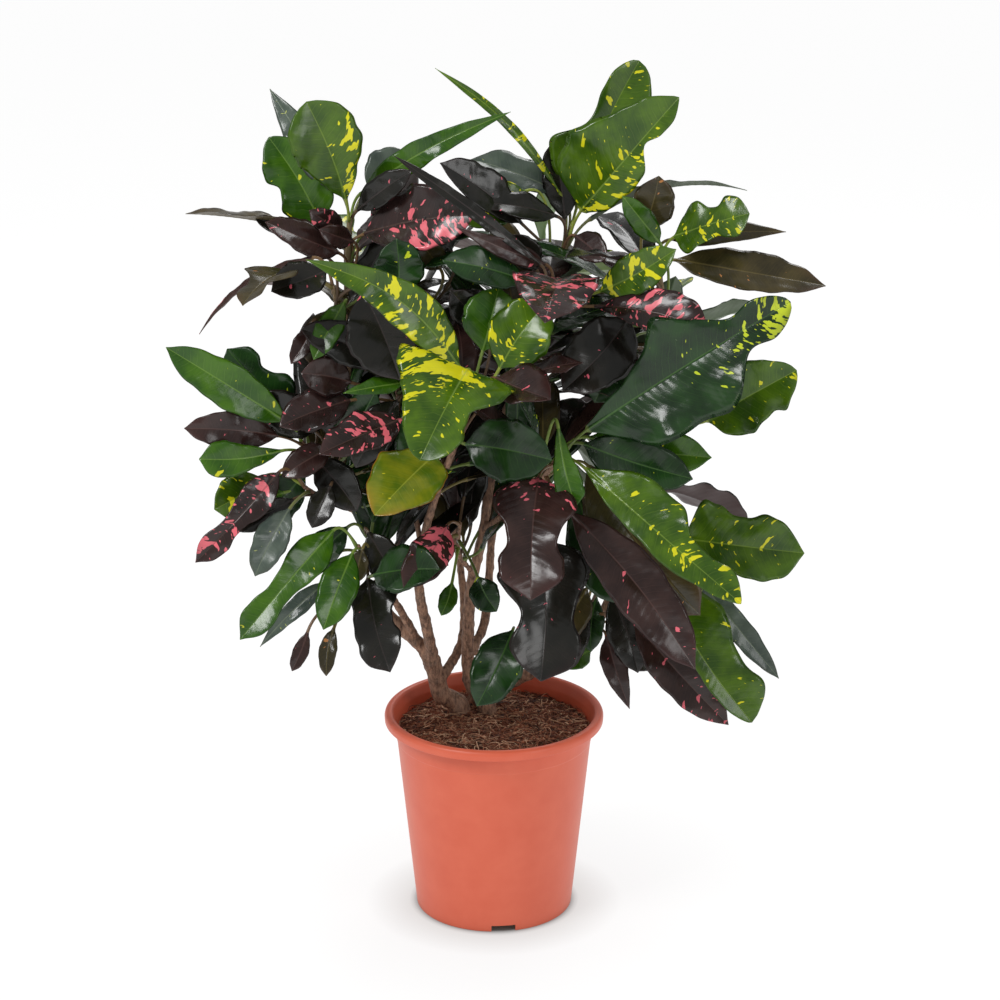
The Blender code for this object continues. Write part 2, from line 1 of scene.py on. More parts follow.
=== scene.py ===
# %% [markdown]
# # Potted croton
#
# A croton is a house plant with leathery leaves in green, yellow, pink and near-black, on
# branching woody stems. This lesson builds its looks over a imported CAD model, whose nodes give
# every size and place. The first cell loads that frame and keeps its box for the last cell.

# %% Load the frame
import math
from functools import partial

import bpy
import numpy as np
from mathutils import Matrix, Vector


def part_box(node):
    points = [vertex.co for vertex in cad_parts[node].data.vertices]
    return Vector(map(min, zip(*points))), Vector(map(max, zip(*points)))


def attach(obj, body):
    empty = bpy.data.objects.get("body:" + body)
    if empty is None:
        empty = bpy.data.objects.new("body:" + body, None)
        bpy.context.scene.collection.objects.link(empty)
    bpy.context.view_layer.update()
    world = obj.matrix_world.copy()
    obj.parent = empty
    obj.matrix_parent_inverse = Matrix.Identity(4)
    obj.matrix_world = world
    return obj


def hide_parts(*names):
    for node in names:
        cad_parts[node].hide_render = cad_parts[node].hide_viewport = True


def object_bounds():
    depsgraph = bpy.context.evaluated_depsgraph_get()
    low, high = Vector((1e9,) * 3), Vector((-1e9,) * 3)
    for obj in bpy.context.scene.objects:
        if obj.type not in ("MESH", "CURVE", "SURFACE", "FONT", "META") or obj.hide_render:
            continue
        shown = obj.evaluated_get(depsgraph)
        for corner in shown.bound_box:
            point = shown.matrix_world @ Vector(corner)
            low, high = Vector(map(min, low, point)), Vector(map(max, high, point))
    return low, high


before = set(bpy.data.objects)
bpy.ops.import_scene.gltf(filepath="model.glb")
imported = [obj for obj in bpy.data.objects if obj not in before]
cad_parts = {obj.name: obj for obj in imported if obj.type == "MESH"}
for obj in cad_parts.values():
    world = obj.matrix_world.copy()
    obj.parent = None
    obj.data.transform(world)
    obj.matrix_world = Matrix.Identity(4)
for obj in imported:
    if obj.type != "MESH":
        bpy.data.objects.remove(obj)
cad_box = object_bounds()
MM = 0.001
CM = 0.01
print("CAD box, metres:", [[round(c, 3) for c in corner] for corner in cad_box])

# %% [markdown]
# ## Camera, floor and light
#
# A plant is shown as in a studio: from a little above, through a long lens that keeps the
# leaves in proportion, on a white sweep. A large soft light from the upper left gives the
# waxy leaves a broad pale sheen, a second one fills from the right, and a white world keeps
# the shadows light.

# %% Camera, floor and light
CAMERA_PLACE = (0.006, -3.0, 1.46)
CAMERA_TILT = 71
CAMERA_LENS = 117.36
SENSOR_WIDTH = 36
scene = bpy.context.scene
scene.view_settings.view_transform = "Standard"
camera_data = bpy.data.cameras.new("studio_camera")
camera_data.lens = CAMERA_LENS
camera_data.sensor_width = SENSOR_WIDTH
camera = bpy.data.objects.new("studio_camera", camera_data)
camera.location = CAMERA_PLACE
camera.rotation_euler = (math.radians(CAMERA_TILT), 0, 0)
scene.collection.objects.link(camera)
scene.camera = camera


def soft_light(name, place, size, power, aim=(0, 0, 0.5)):
    """A square area light at a place in metres, turned to look at its aim."""
    lamp = bpy.data.lights.new(name, "AREA")
    lamp.size = size
    lamp.energy = power
    made = bpy.data.objects.new(name, lamp)
    made.location = place
    made.rotation_euler = (Vector(aim) - Vector(place)).to_track_quat("-Z", "Y").to_euler()
    scene.collection.objects.link(made)


soft_light("key_light", (-1.5, -1.3, 2.4), size=0.9, power=40)
soft_light("fill_light", (1.9, -1.7, 1.3), size=1.0, power=12)
soft_light("rim_light", (0.7, 1.8, 2.2), size=1.2, power=22)

ROOM_LIGHT = 0.42
world = bpy.data.worlds.new("white_studio")
world.use_nodes = True
backdrop = world.node_tree.nodes["Background"]
backdrop.inputs["Color"].default_value = (1, 1, 1, 1)
backdrop.inputs["Strength"].default_value = ROOM_LIGHT
scene.world = world

FLOOR_REACH = 12.0
near, far = -FLOOR_REACH, FLOOR_REACH
floor_mesh = bpy.data.meshes.new("studio_floor")
floor_mesh.from_pydata(
    [(near, near, 0), (far, near, 0), (far, far, 0), (near, far, 0)],
    [],
    [(0, 1, 2, 3)],
)
studio_floor = bpy.data.objects.new("studio_floor", floor_mesh)
scene.collection.objects.link(studio_floor)
sweep = bpy.data.materials.new("white_paper_sweep")
sweep.use_nodes = True
paper = sweep.node_tree.nodes["Principled BSDF"].inputs
paper["Base Color"].default_value = (0.14, 0.14, 0.14, 1)
paper["Roughness"].default_value = 1
paper["Emission Color"].default_value = (1, 1, 1, 1)
paper["Emission Strength"].default_value = 0.9
floor_mesh.materials.append(sweep)
print("camera looks down", 90 - CAMERA_TILT, "degrees")

# %% [markdown]
# ## Helpers
#
# Colours are written as the hex values that a colour picker shows, and one function turns them
# to the linear values that a shader mixes. Another adds one shader node with its settings and
# links, so that each material below reads from top to bottom. Curves use cubic pieces through
# their points, the same ones as the CAD model, so that both follow the same lines.


# %% Helpers for colours and nodes
def linear(hex_colour):
    """sRGB hex to linear RGBA: the toe is divided by 12.92, the rest is a 2.4 power."""
    parts = np.array([int(hex_colour[i : i + 2], 16) for i in (1, 3, 5)]) / 255
    toe = parts / 12.92
    curve = ((parts + 0.055) / 1.055) ** 2.4
    return (*np.where(parts <= 0.04045, toe, curve).tolist(), 1.0)


def new_material(name):
    """A material with its shader tree and its Principled BSDF."""
    made = bpy.data.materials.new(name)
    made.use_nodes = True
    return made, made.node_tree, made.node_tree.nodes["Principled BSDF"]


def node(tree, kind, settings=None, *values, **named):
    """Adds one node. Settings are its properties, values go to the inputs that it shows, in
    order, and named values to the inputs of those names. A value is a number, a colour or an
    output to link; a node stands for the first output that it shows."""
    made = tree.nodes.new(f"ShaderNode{kind}")
    for key, value in (settings or {}).items():
        setattr(made, key, value)
    shown = [socket for socket in made.inputs if socket.enabled]
    chosen = [made.inputs[key] for key in named]
    for socket, value in zip(shown[: len(values)] + chosen, [*values, *named.values()]):
        if isinstance(value, bpy.types.Node):
            value = next(output for output in value.outputs if output.enabled)
        if isinstance(value, bpy.types.NodeSocket):
            tree.links.new(value, socket)
        else:
            socket.default_value = value
    return made


# Settings that several materials share
ADD, SUBTRACT, MULTIPLY, MULTIPLY_ADD, MAXIMUM, ABSOLUTE, PINGPONG, LENGTH = (
    {"operation": name}
    for name in "ADD SUBTRACT MULTIPLY MULTIPLY_ADD MAXIMUM ABSOLUTE PINGPONG LENGTH".split()
)
COLOURS = {"data_type": "RGBA"}
EASED = {"interpolation_type": "SMOOTHSTEP"}
print("terracotta in linear RGB:", [round(c, 3) for c in linear("#d96b50")[:3]])


# %% Helpers for curves and meshes
def catmull_rom(values, count):
    """The values read at count even places, on cubic pieces that pass through every value."""
    values = np.asarray(values, dtype=float)
    place = np.linspace(0, len(values) - 1, count)
    first = np.minimum(place.astype(int), len(values) - 2)
    along = place - first
    if values.ndim > 1:
        along = along[:, None]
    a = values[np.maximum(first - 1, 0)]
    b = values[first]
    c = values[first + 1]
    d = values[np.minimum(first + 2, len(values) - 1)]
    slope_b = (c - a) / 2
    slope_c = (d - b) / 2
    cube = 2 * (b - c) + slope_b + slope_c
    square = 3 * (c - b) - 2 * slope_b - slope_c
    return ((cube * along + square) * along + slope_b) * along + b


def unit(vectors):
    """Each vector divided by its length."""
    return vectors / np.linalg.norm(vectors, axis=-1, keepdims=True)


def smoothstep(low, high, value):
    """0 below low, 1 above high, and an S-curve between."""
    share = np.clip((value - low) / (high - low), 0, 1)
    return share * share * (3 - 2 * share)


def mesh_of(name, points, *groups):
    """A smooth mesh from an array of points and groups of faces; in a group each face has
    equally many corners."""
    groups = [np.asarray(group, dtype=np.int32) for group in groups]
    corners = np.concatenate([group.ravel() for group in groups])
    sizes = np.concatenate([np.full(len(group), group.shape[1]) for group in groups])
    starts = np.insert(np.cumsum(sizes)[:-1], 0, 0).astype(np.int32)
    mesh = bpy.data.meshes.new(name)
    mesh.vertices.add(len(points))
    mesh.vertices.foreach_set("co", np.asarray(points, dtype=np.float32).ravel())
    mesh.loops.add(len(corners))
    mesh.loops.foreach_set("vertex_index", corners)
    mesh.polygons.add(len(sizes))
    mesh.polygons.foreach_set("loop_start", starts)
    mesh.polygons.foreach_set("use_smooth", np.ones(len(sizes), dtype=bool))
    mesh.update(calc_edges=True)
    return mesh


def add_piece(name, mesh, finish, slot, *nodes):
    """Shows a mesh as a piece of the plant, in place of the CAD nodes named."""
    made = bpy.data.objects.new(name, mesh)
    scene.collection.objects.link(made)
    mesh.materials.append(finish)
    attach(made, "root")
    if nodes:
        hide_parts(*nodes)
    return made


print("even steps on a curve:", catmull_rom([0, 1, 4], 5).round(2))

# %% [markdown]
# ## Paper and room
#
# A sweep of white paper is lit until it has no edge and hardly a shadow, and only by the pot's
# foot does the light fail to reach. So the floor gives off its own light, less of it near the
# pot's axis: a painted shadow round the pot's foot. The world is white to the eye but lights
# the plant at its own lower strength, or the leaves would lose their shadows.

# %% The paper and the backdrop
place = node(sweep.node_tree, "TexCoord").outputs["Object"]
apart = node(sweep.node_tree, "VectorMath", LENGTH, place)
# The floor's glow is white from 30 cm out and falls to almost nothing under the pot's foot: a
# painted contact shadow
glow_and_painted_shadow = node(sweep.node_tree, "ValToRGB", None, apart)
stops = glow_and_painted_shadow.color_ramp.elements
for metres, light in (
    (0.074, (0.03, 0.025, 0.02)),
    (0.084, (0.72, 0.71, 0.7)),
    (0.13, (0.93, 0.93, 0.93)),
    (0.3, (1, 1, 1)),
):
    stops.new(metres).color = (*light, 1)
stops.remove(stops[0])
stops.remove(stops[-1])
sweep.node_tree.links.new(glow_and_painted_shadow.outputs[0], paper["Emission Color"])

BACKDROP_WHITE = 0.98
seen = node(world.node_tree, "LightPath").outputs["Is Camera Ray"]
extra = BACKDROP_WHITE - ROOM_LIGHT
strength = node(world.node_tree, "Math", MULTIPLY_ADD, seen, extra, ROOM_LIGHT)
world.node_tree.links.new(strength.outputs[0], backdrop.inputs["Strength"])
print("stops of the paper's glow, metres:", [round(stop.position, 3) for stop in stops])

# %% [markdown]
# ## The pot
#
# A nursery pot is blown or moulded from polypropylene coloured like terracotta. Its wall is
# hardly thicker than a coin, it tapers so that pots stack, and a turned-down rim stiffens the
# mouth. A lathe suits it: one closed profile, with every corner eased by a small curve, is
# carried round the axis. The drainage notches and holes are cut out afterwards with a Boolean,
# and the result replaces the coarser CAD solid.


# %% A lathe for eased profiles
def eased(corners, radius, steps):
    """Each inner corner becomes a quadratic curve from radius before it to radius after it."""
    corners = np.asarray(corners, dtype=float)
    before, here, after = corners[:-2], corners[1:-1], corners[2:]
    back, on = before - here, after - here
    back_length = np.linalg.norm(back, axis=1, keepdims=True)
    on_length = np.linalg.norm(on, axis=1, keepdims=True)
    near = np.minimum(radius, np.minimum(back_length, on_length) * 0.45)
    enter = here + back / back_length * near
    leave = here + on / on_length * near
    share = np.linspace(0, 1, steps)[None, :, None]
    curve = (1 - share) ** 2 * enter[:, None]
    curve = curve + 2 * share * (1 - share) * here[:, None] + share**2 * leave[:, None]
    return np.concatenate((corners[:1], curve.reshape(-1, 2), corners[-1:]))


def turned_points(profile, segments):
    """Point (i, j) is profile point i, turned by j full turns over segments about Z."""
    angle = np.arange(segments) * math.tau / segments
    circle = np.stack((np.cos(angle), np.sin(angle)), axis=1)
    flat = profile[:, None, :1] * circle[None]
    height = np.broadcast_to(profile[:, None, 1:], (len(profile), segments, 1))
    return np.concatenate((flat, height), axis=2)


def loft_faces(rings, sides, first=0):
    """Quads from each ring to the next, then fans of triangles over the two end rings."""
    ring = np.arange(rings - 1)[:, None] * sides
    here = np.arange(sides)[None]
    after = (here + 1) % sides
    quads = np.stack((ring + here, ring + after, ring + sides + after, ring + sides + here), 2)
    spoke = np.arange(1, sides - 1)
    hub = np.zeros_like(spoke)
    start = np.stack((hub, spoke + 1, spoke), axis=1)
    end = np.stack((hub, spoke, spoke + 1), axis=1) + (rings - 1) * sides
    return quads.reshape(-1, 4) + first, np.concatenate((start, end)) + first


def cut_out(target, cutter):
    """Takes the cutter's shape out of the target's mesh and removes the cutter."""
    change = target.modifiers.new("cut", "BOOLEAN")
    change.operation = "DIFFERENCE"
    change.solver = "EXACT"
    change.object = cutter
    graph = bpy.context.evaluated_depsgraph_get()
    result = bpy.data.meshes.new_from_object(target.evaluated_get(graph))
    target.modifiers.clear()
    target.data = result
    bpy.data.objects.remove(cutter)


print("a corner eased:", eased([(0, 0), (1, 0), (1, 1)], 0.5, 3).round(2).tolist())


# %% The pot's profile
pot_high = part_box("pot")[1]
POT_HEIGHT = pot_high.z
RIM_RADIUS = pot_high.x
FOOT_RADIUS = 78 * MM
NECK_RADIUS = 98.5 * MM
MOUTH_RADIUS = 100 * MM
WALL = 1.6 * MM
RIM_DEPTH = 10 * MM
RIM_FOOT = POT_HEIGHT - RIM_DEPTH
FLOOR_TOP = 11 * MM
FLOOR_UNDERSIDE = 9 * MM
FOOT_RING = 3 * MM
STACKING_LINE = 178 * MM
AXIS_GAP = 0.4 * MM
CORNER_RADIUS = 1.6 * MM
CORNER_STEPS = 5
SEGMENTS = 240


def wall_radius(height):
    """The wall's outer radius: a straight taper from the foot to the neck under the rim."""
    return FOOT_RADIUS + (NECK_RADIUS - FOOT_RADIUS) * height / RIM_FOOT


pot_profile = eased(
    [
        (AXIS_GAP, FLOOR_UNDERSIDE),
        (FOOT_RADIUS - FOOT_RING, FLOOR_UNDERSIDE),
        (FOOT_RADIUS - FOOT_RING, 0),
        (FOOT_RADIUS, 0),
        (wall_radius(FLOOR_TOP), FLOOR_TOP),
        (wall_radius(STACKING_LINE), STACKING_LINE),
        (wall_radius(STACKING_LINE) + 0.5 * MM, STACKING_LINE + 0.8 * MM),
        (NECK_RADIUS + 0.2 * MM, RIM_FOOT),
        (MOUTH_RADIUS + 1.8 * MM, POT_HEIGHT - 2.8 * MM),
        (RIM_RADIUS - 2.4 * MM, POT_HEIGHT - 2.8 * MM),
        (RIM_RADIUS - WALL - 0.4 * MM, RIM_FOOT),
        (RIM_RADIUS - 0.4 * MM, RIM_FOOT),
        (RIM_RADIUS, POT_HEIGHT - 4.2 * MM),
        (RIM_RADIUS - 1.4 * MM, POT_HEIGHT - 1.2 * MM),
        (RIM_RADIUS - 4.2 * MM, POT_HEIGHT),
        (MOUTH_RADIUS + 1.8 * MM, POT_HEIGHT - 0.3 * MM),
        (MOUTH_RADIUS, POT_HEIGHT - 2.4 * MM),
        (NECK_RADIUS - WALL, RIM_FOOT - 1 * MM),
        (wall_radius(FLOOR_TOP) - WALL, FLOOR_TOP),
        (AXIS_GAP, FLOOR_TOP),
    ],
    CORNER_RADIUS,
    CORNER_STEPS,
)
pot_mesh = mesh_of(
    "pot_plastic",
    turned_points(pot_profile, SEGMENTS).reshape(-1, 3),
    *loft_faces(len(pot_profile), SEGMENTS),
)
print("profile points:", len(pot_profile), "pot height mm:", round(POT_HEIGHT / MM, 1))

# %% [markdown]
# Polypropylene is semi-matt: the light spreads over it, and a faint mottle and fine upright
# draw marks from the mould keep a large plain wall from looking computed. Its refractive index
# is about 1.49. A small bump at a grit of under a millimetre breaks up the highlight.

# %% Moulded polypropylene, terracotta coloured
pot_plastic, tree, shader = new_material("moulded_polypropylene")
place = node(tree, "TexCoord").outputs["Object"]
drawn = node(tree, "Mapping", None, place, Scale=(1, 1, 0.12))
mottle = node(tree, "TexNoise", None, place, Scale=38, Detail=3)
marks = node(tree, "TexNoise", None, drawn, Scale=420, Detail=2)
tone = node(tree, "MapRange", None, mottle, 0.3, 0.7, 0, 1)
clay = node(tree, "Mix", COLOURS, tone, linear("#d65f42"), linear("#db6649"))
tree.links.new(clay.outputs[2], shader.inputs["Base Color"])
grit = node(tree, "TexNoise", None, place, Scale=1600, Detail=2)
relief = node(tree, "Math", ADD, marks, grit)
bump = node(tree, "Bump", Strength=0.08, Distance=0.0004, Height=relief)
tree.links.new(bump.outputs[0], shader.inputs["Normal"])
shader.inputs["Roughness"].default_value = 0.42
shader.inputs["IOR"].default_value = 1.49
print("grit, mm:", round(1000 / 1600, 2))

# %% Notches and drain holes
pot = add_piece("nursery_pot", pot_mesh, pot_plastic, "pot_plastic", "pot")


def drum_points(radius, low, high, sides):
    """Two rings of equal radius, one at each height."""
    return turned_points(np.array([(radius, low), (radius, high)]), sides)


def block_points(width, depth, low, high):
    """Two rings of four corners round the origin, one at each height."""
    corners = np.array([(1, 1), (-1, 1), (-1, -1), (1, -1)]) * (depth / 2, width / 2)
    return np.stack([np.insert(corners, 2, z, axis=1) for z in (low, high)])


def cutters(shape, angles, distance):
    """Copies of a two-ring shape, moved out by distance and turned to each angle."""
    faces, points = [], []
    for index, angle in enumerate(angles):
        turn = np.array([(math.cos(angle), math.sin(angle)), (-math.sin(angle), math.cos(angle))])
        copy = shape.reshape(-1, 3) + (distance, 0, 0)
        copy[:, :2] = copy[:, :2] @ turn
        points.append(copy)
        faces.append(loft_faces(2, shape.shape[1], index * len(copy)))
    quads, fans = (np.concatenate(group) for group in zip(*faces))
    mesh = mesh_of("cutters", np.concatenate(points), quads, fans)
    made = bpy.data.objects.new("cutters", mesh)
    scene.collection.objects.link(made)
    return made


NOTCH_WIDTH = 24 * MM
NOTCH_RISE = 7 * MM
NOTCHES = 3
FIRST_NOTCH = math.radians(-83)
DRAIN_RADIUS = 5 * MM
DRAIN_CIRCLE = 50 * MM
DRAINS = 6
PAST = 2 * MM
notch = block_points(NOTCH_WIDTH, 20 * MM, -NOTCH_RISE, NOTCH_RISE)
notch_angles = FIRST_NOTCH + np.arange(NOTCHES) * math.tau / NOTCHES
cut_out(pot, cutters(notch, notch_angles, FOOT_RADIUS))
drain = drum_points(DRAIN_RADIUS, FLOOR_UNDERSIDE - PAST, FLOOR_TOP + PAST, 24)
cut_out(pot, cutters(drain, np.arange(DRAINS) * math.tau / DRAINS, DRAIN_CIRCLE))
pot.data.shade_smooth()
pot.data.set_sharp_from_angle(angle=math.radians(40))
print("pot faces:", len(pot.data.polygons))

# %% [markdown]
# ## The potting mix
#
# Coir and peat settle into a low mound with a rough, fibrous top. The body is a closed disc
# whose top is raised and lowered by waves of many lengths. Over it lie a few thousand short coir
# fibres, each a bent strand of three sides, and small crumbs, so that the light catches single
# strands as it does on the real mix.


# %% Rough ground from waves
def waves(x, y, longest, count, seed):
    """Sum of sine waves in random directions. Each is shorter and lower than the one before."""
    dice = np.random.default_rng(seed)
    angle = dice.uniform(0, math.tau, count)
    phase = dice.uniform(0, math.tau, count)
    length = longest * np.linspace(1, 0.12, count)
    turn = math.tau / length
    inner = x[..., None] * np.cos(angle) * turn + y[..., None] * np.sin(angle) * turn + phase
    return (np.sin(inner) * length).sum(-1) / length.sum()


SOIL_EDGE = 188 * MM
SOIL_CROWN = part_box("soil")[1].z
SOIL_SIDES = 200


def soil_height(x, y):
    """A low dome from the edge's height to the crown's, less up to 3 mm of roughness."""
    out = np.hypot(x, y) / (wall_radius(SOIL_EDGE) - WALL)
    dome = SOIL_EDGE + (SOIL_CROWN - SOIL_EDGE) * (1 - out**2)
    rough = 0.6 * waves(x, y, 30 * MM, 14, 3) + 0.5 * waves(x, y, 7 * MM, 14, 4)
    return dome - 1.6 * MM + 2.6 * MM * rough


# The rings are closer than the shortest waves, and the last one lies just inside the wall
rings = np.concatenate((np.linspace(0.2, 94, 84), [95.2]))[::-1] * MM
disc = turned_points(np.stack((rings, rings * 0), axis=1), SOIL_SIDES)
disc[..., 2] = soil_height(disc[..., 0], disc[..., 1])
floor_radius = wall_radius(FLOOR_TOP) - WALL - 0.6 * MM
skirt = turned_points(np.array([(0.2 * MM, FLOOR_TOP), (floor_radius, FLOOR_TOP)]), SOIL_SIDES)
skirt[..., 2] += 0.3 * MM
soil_rings = np.concatenate((skirt, disc))
soil_faces = loft_faces(len(soil_rings), SOIL_SIDES)
soil_mesh = mesh_of("potting_mix", soil_rings.reshape(-1, 3), *soil_faces)
print("top of the mix, mm:", round(disc[..., 2].max() / MM, 1))


# %% Coir fibres and crumbs
STREWN_RADIUS = 93.5 * MM
STRAND_LIMIT = 94.6 * MM


def strands(starts, turns, lengths, radii, sides, stations, seed):
    """Bent strands: each starts at a point, runs level at an angle and follows the ground, with
    a sideways bow and a lift of its own. Rings of a few sides are carried along it."""
    dice = np.random.default_rng(seed)
    count = len(starts)
    share = np.linspace(0, 1, stations)[None, :]
    bow = dice.uniform(-0.5, 0.5, (count, 1)) * lengths[:, None] * 4 * share * (1 - share)
    springy = dice.uniform(0.1, 1, (count, 1)) ** 2 * 0.24
    lift = springy * lengths[:, None] * np.sin(math.pi * share)
    heading = np.stack((np.cos(turns), np.sin(turns)), axis=1)
    aside = np.stack((-heading[:, 1], heading[:, 0]), axis=1)
    flat = starts[:, None] + heading[:, None] * (share * lengths[:, None])[..., None]
    flat = flat + aside[:, None] * bow[..., None]
    out = np.linalg.norm(flat, axis=2, keepdims=True)
    flat = flat * np.minimum(1, STRAND_LIMIT / out)
    height = soil_height(flat[..., 0], flat[..., 1]) + lift + radii[:, None] * 0.5
    line = np.concatenate((flat, height[..., None]), axis=2)
    angle = np.arange(sides) * math.tau / sides
    across = np.broadcast_to(np.insert(aside, 2, 0, axis=1)[:, None], line.shape)
    thin = radii[:, None] * (1 - 0.6 * np.abs(2 * share - 1) ** 3)
    upright = np.array([0, 0, 1.0]) * np.sin(angle)[:, None]
    circle = -across[:, :, None] * np.cos(angle)[:, None] + upright
    return line[:, :, None] + circle * thin[..., None, None]


def joined_strands(name, rings_of_all):
    """One mesh of many lofts, with a number of its own at each strand's points."""
    count, stations, sides = rings_of_all.shape[:3]
    quads, fans = loft_faces(stations, sides)
    step = np.arange(count)[:, None, None] * stations * sides
    quads = (quads[None] + step).reshape(-1, 4)
    fans = (fans[None] + step).reshape(-1, 3)
    mesh = mesh_of(name, rings_of_all.reshape(-1, 3), quads, fans)
    tint = mesh.attributes.new("tint", "FLOAT", "POINT")
    dice = np.random.default_rng(count)
    tint.data.foreach_set("value", np.repeat(dice.uniform(0, 1, count), stations * sides))
    return mesh


def strewn(dice, count, lengths, radii, sides, stations, seed):
    """Strands spread evenly over the mix: the distance out goes with the root of the draw."""
    out = np.sqrt(dice.uniform(0, 1, count)) * STREWN_RADIUS
    turn = dice.uniform(0, math.tau, count)
    starts = np.stack((np.cos(turn), np.sin(turn)), axis=1) * out[:, None]
    turns = dice.uniform(0, math.tau, count)
    lengths = dice.uniform(*lengths, count) * MM
    radii = dice.uniform(*radii, count) * MM
    return strands(starts, turns, lengths, radii, sides, stations, seed)


dice = np.random.default_rng(11)
FIBRES = 3400
CRUMBS = 1500
fibre_rings = strewn(dice, FIBRES, (6, 26), (0.2, 0.62), sides=3, stations=6, seed=5)
crumb_rings = strewn(dice, CRUMBS, (1.2, 5), (0.5, 1.7), sides=5, stations=4, seed=6)
print("fibres:", FIBRES, "crumbs:", CRUMBS)

# %% [markdown]
# Moist coir is reddish brown and quite matt, with darker peat below and a few pale dry fibres
# on top. The body's colour goes from peat to coir over clumps of 5 mm; the fibres take theirs
# from the number that each strand carries.

# %% Moist coir and peat
coir, tree, shader = new_material("moist_coir_and_peat")
place = node(tree, "TexCoord").outputs["Object"]
clumps = node(tree, "TexNoise", None, place, Scale=210, Detail=5, Roughness=0.65)
ramp = node(tree, "ValToRGB", None, clumps)
peat, dry = ramp.color_ramp.elements
peat.position, peat.color = 0.34, linear("#331b12")
dry.position, dry.color = 0.68, linear("#8a4f34")
tree.links.new(ramp.outputs[0], shader.inputs["Base Color"])
grain = node(tree, "TexNoise", None, place, Scale=700, Detail=4)
bump = node(tree, "Bump", Strength=0.9, Distance=0.0015, Height=grain)
tree.links.new(bump.outputs[0], shader.inputs["Normal"])
shader.inputs["Roughness"].default_value = 0.9

fibre, tree, shader = new_material("coir_fibre")
tint = node(tree, "Attribute", {"attribute_name": "tint"}).outputs["Fac"]
ramp = node(tree, "ValToRGB", None, tint)
ramp.color_ramp.elements[0].color = linear("#3a2016")
ramp.color_ramp.elements[1].color = linear("#dfb593")
ramp.color_ramp.elements.new(0.45).color = linear("#85482c")
ramp.color_ramp.elements.new(0.68).color = linear("#a9694a")
tree.links.new(ramp.outputs[0], shader.inputs["Base Color"])
shader.inputs["Roughness"].default_value = 0.75

add_piece("potting_mix", soil_mesh, coir, "potting_mix", "soil")
add_piece("coir_fibres", joined_strands("coir_fibres", fibre_rings), fibre, "potting_mix")
add_piece("peat_crumbs", joined_strands("peat_crumbs", crumb_rings), fibre, "potting_mix")
print("soil triangles:", 2 * len(soil_mesh.polygons))

# %% [markdown]
# ## The stems
#
# Three woody stems branch into the shoots that carry the leaves. Each shoot is a tube along a
# smooth line through a few points, laid out in centimetres as in the CAD model. Its radius
# swells a little at each node and carries a half-moon scar where an old leaf fell, node after
# node at the golden angle. The tubes of one stem are fused by a voxel remesh, as fingers press
# clay together at a fork, and smoothed. Last, the bark is pushed in and out along the normals.

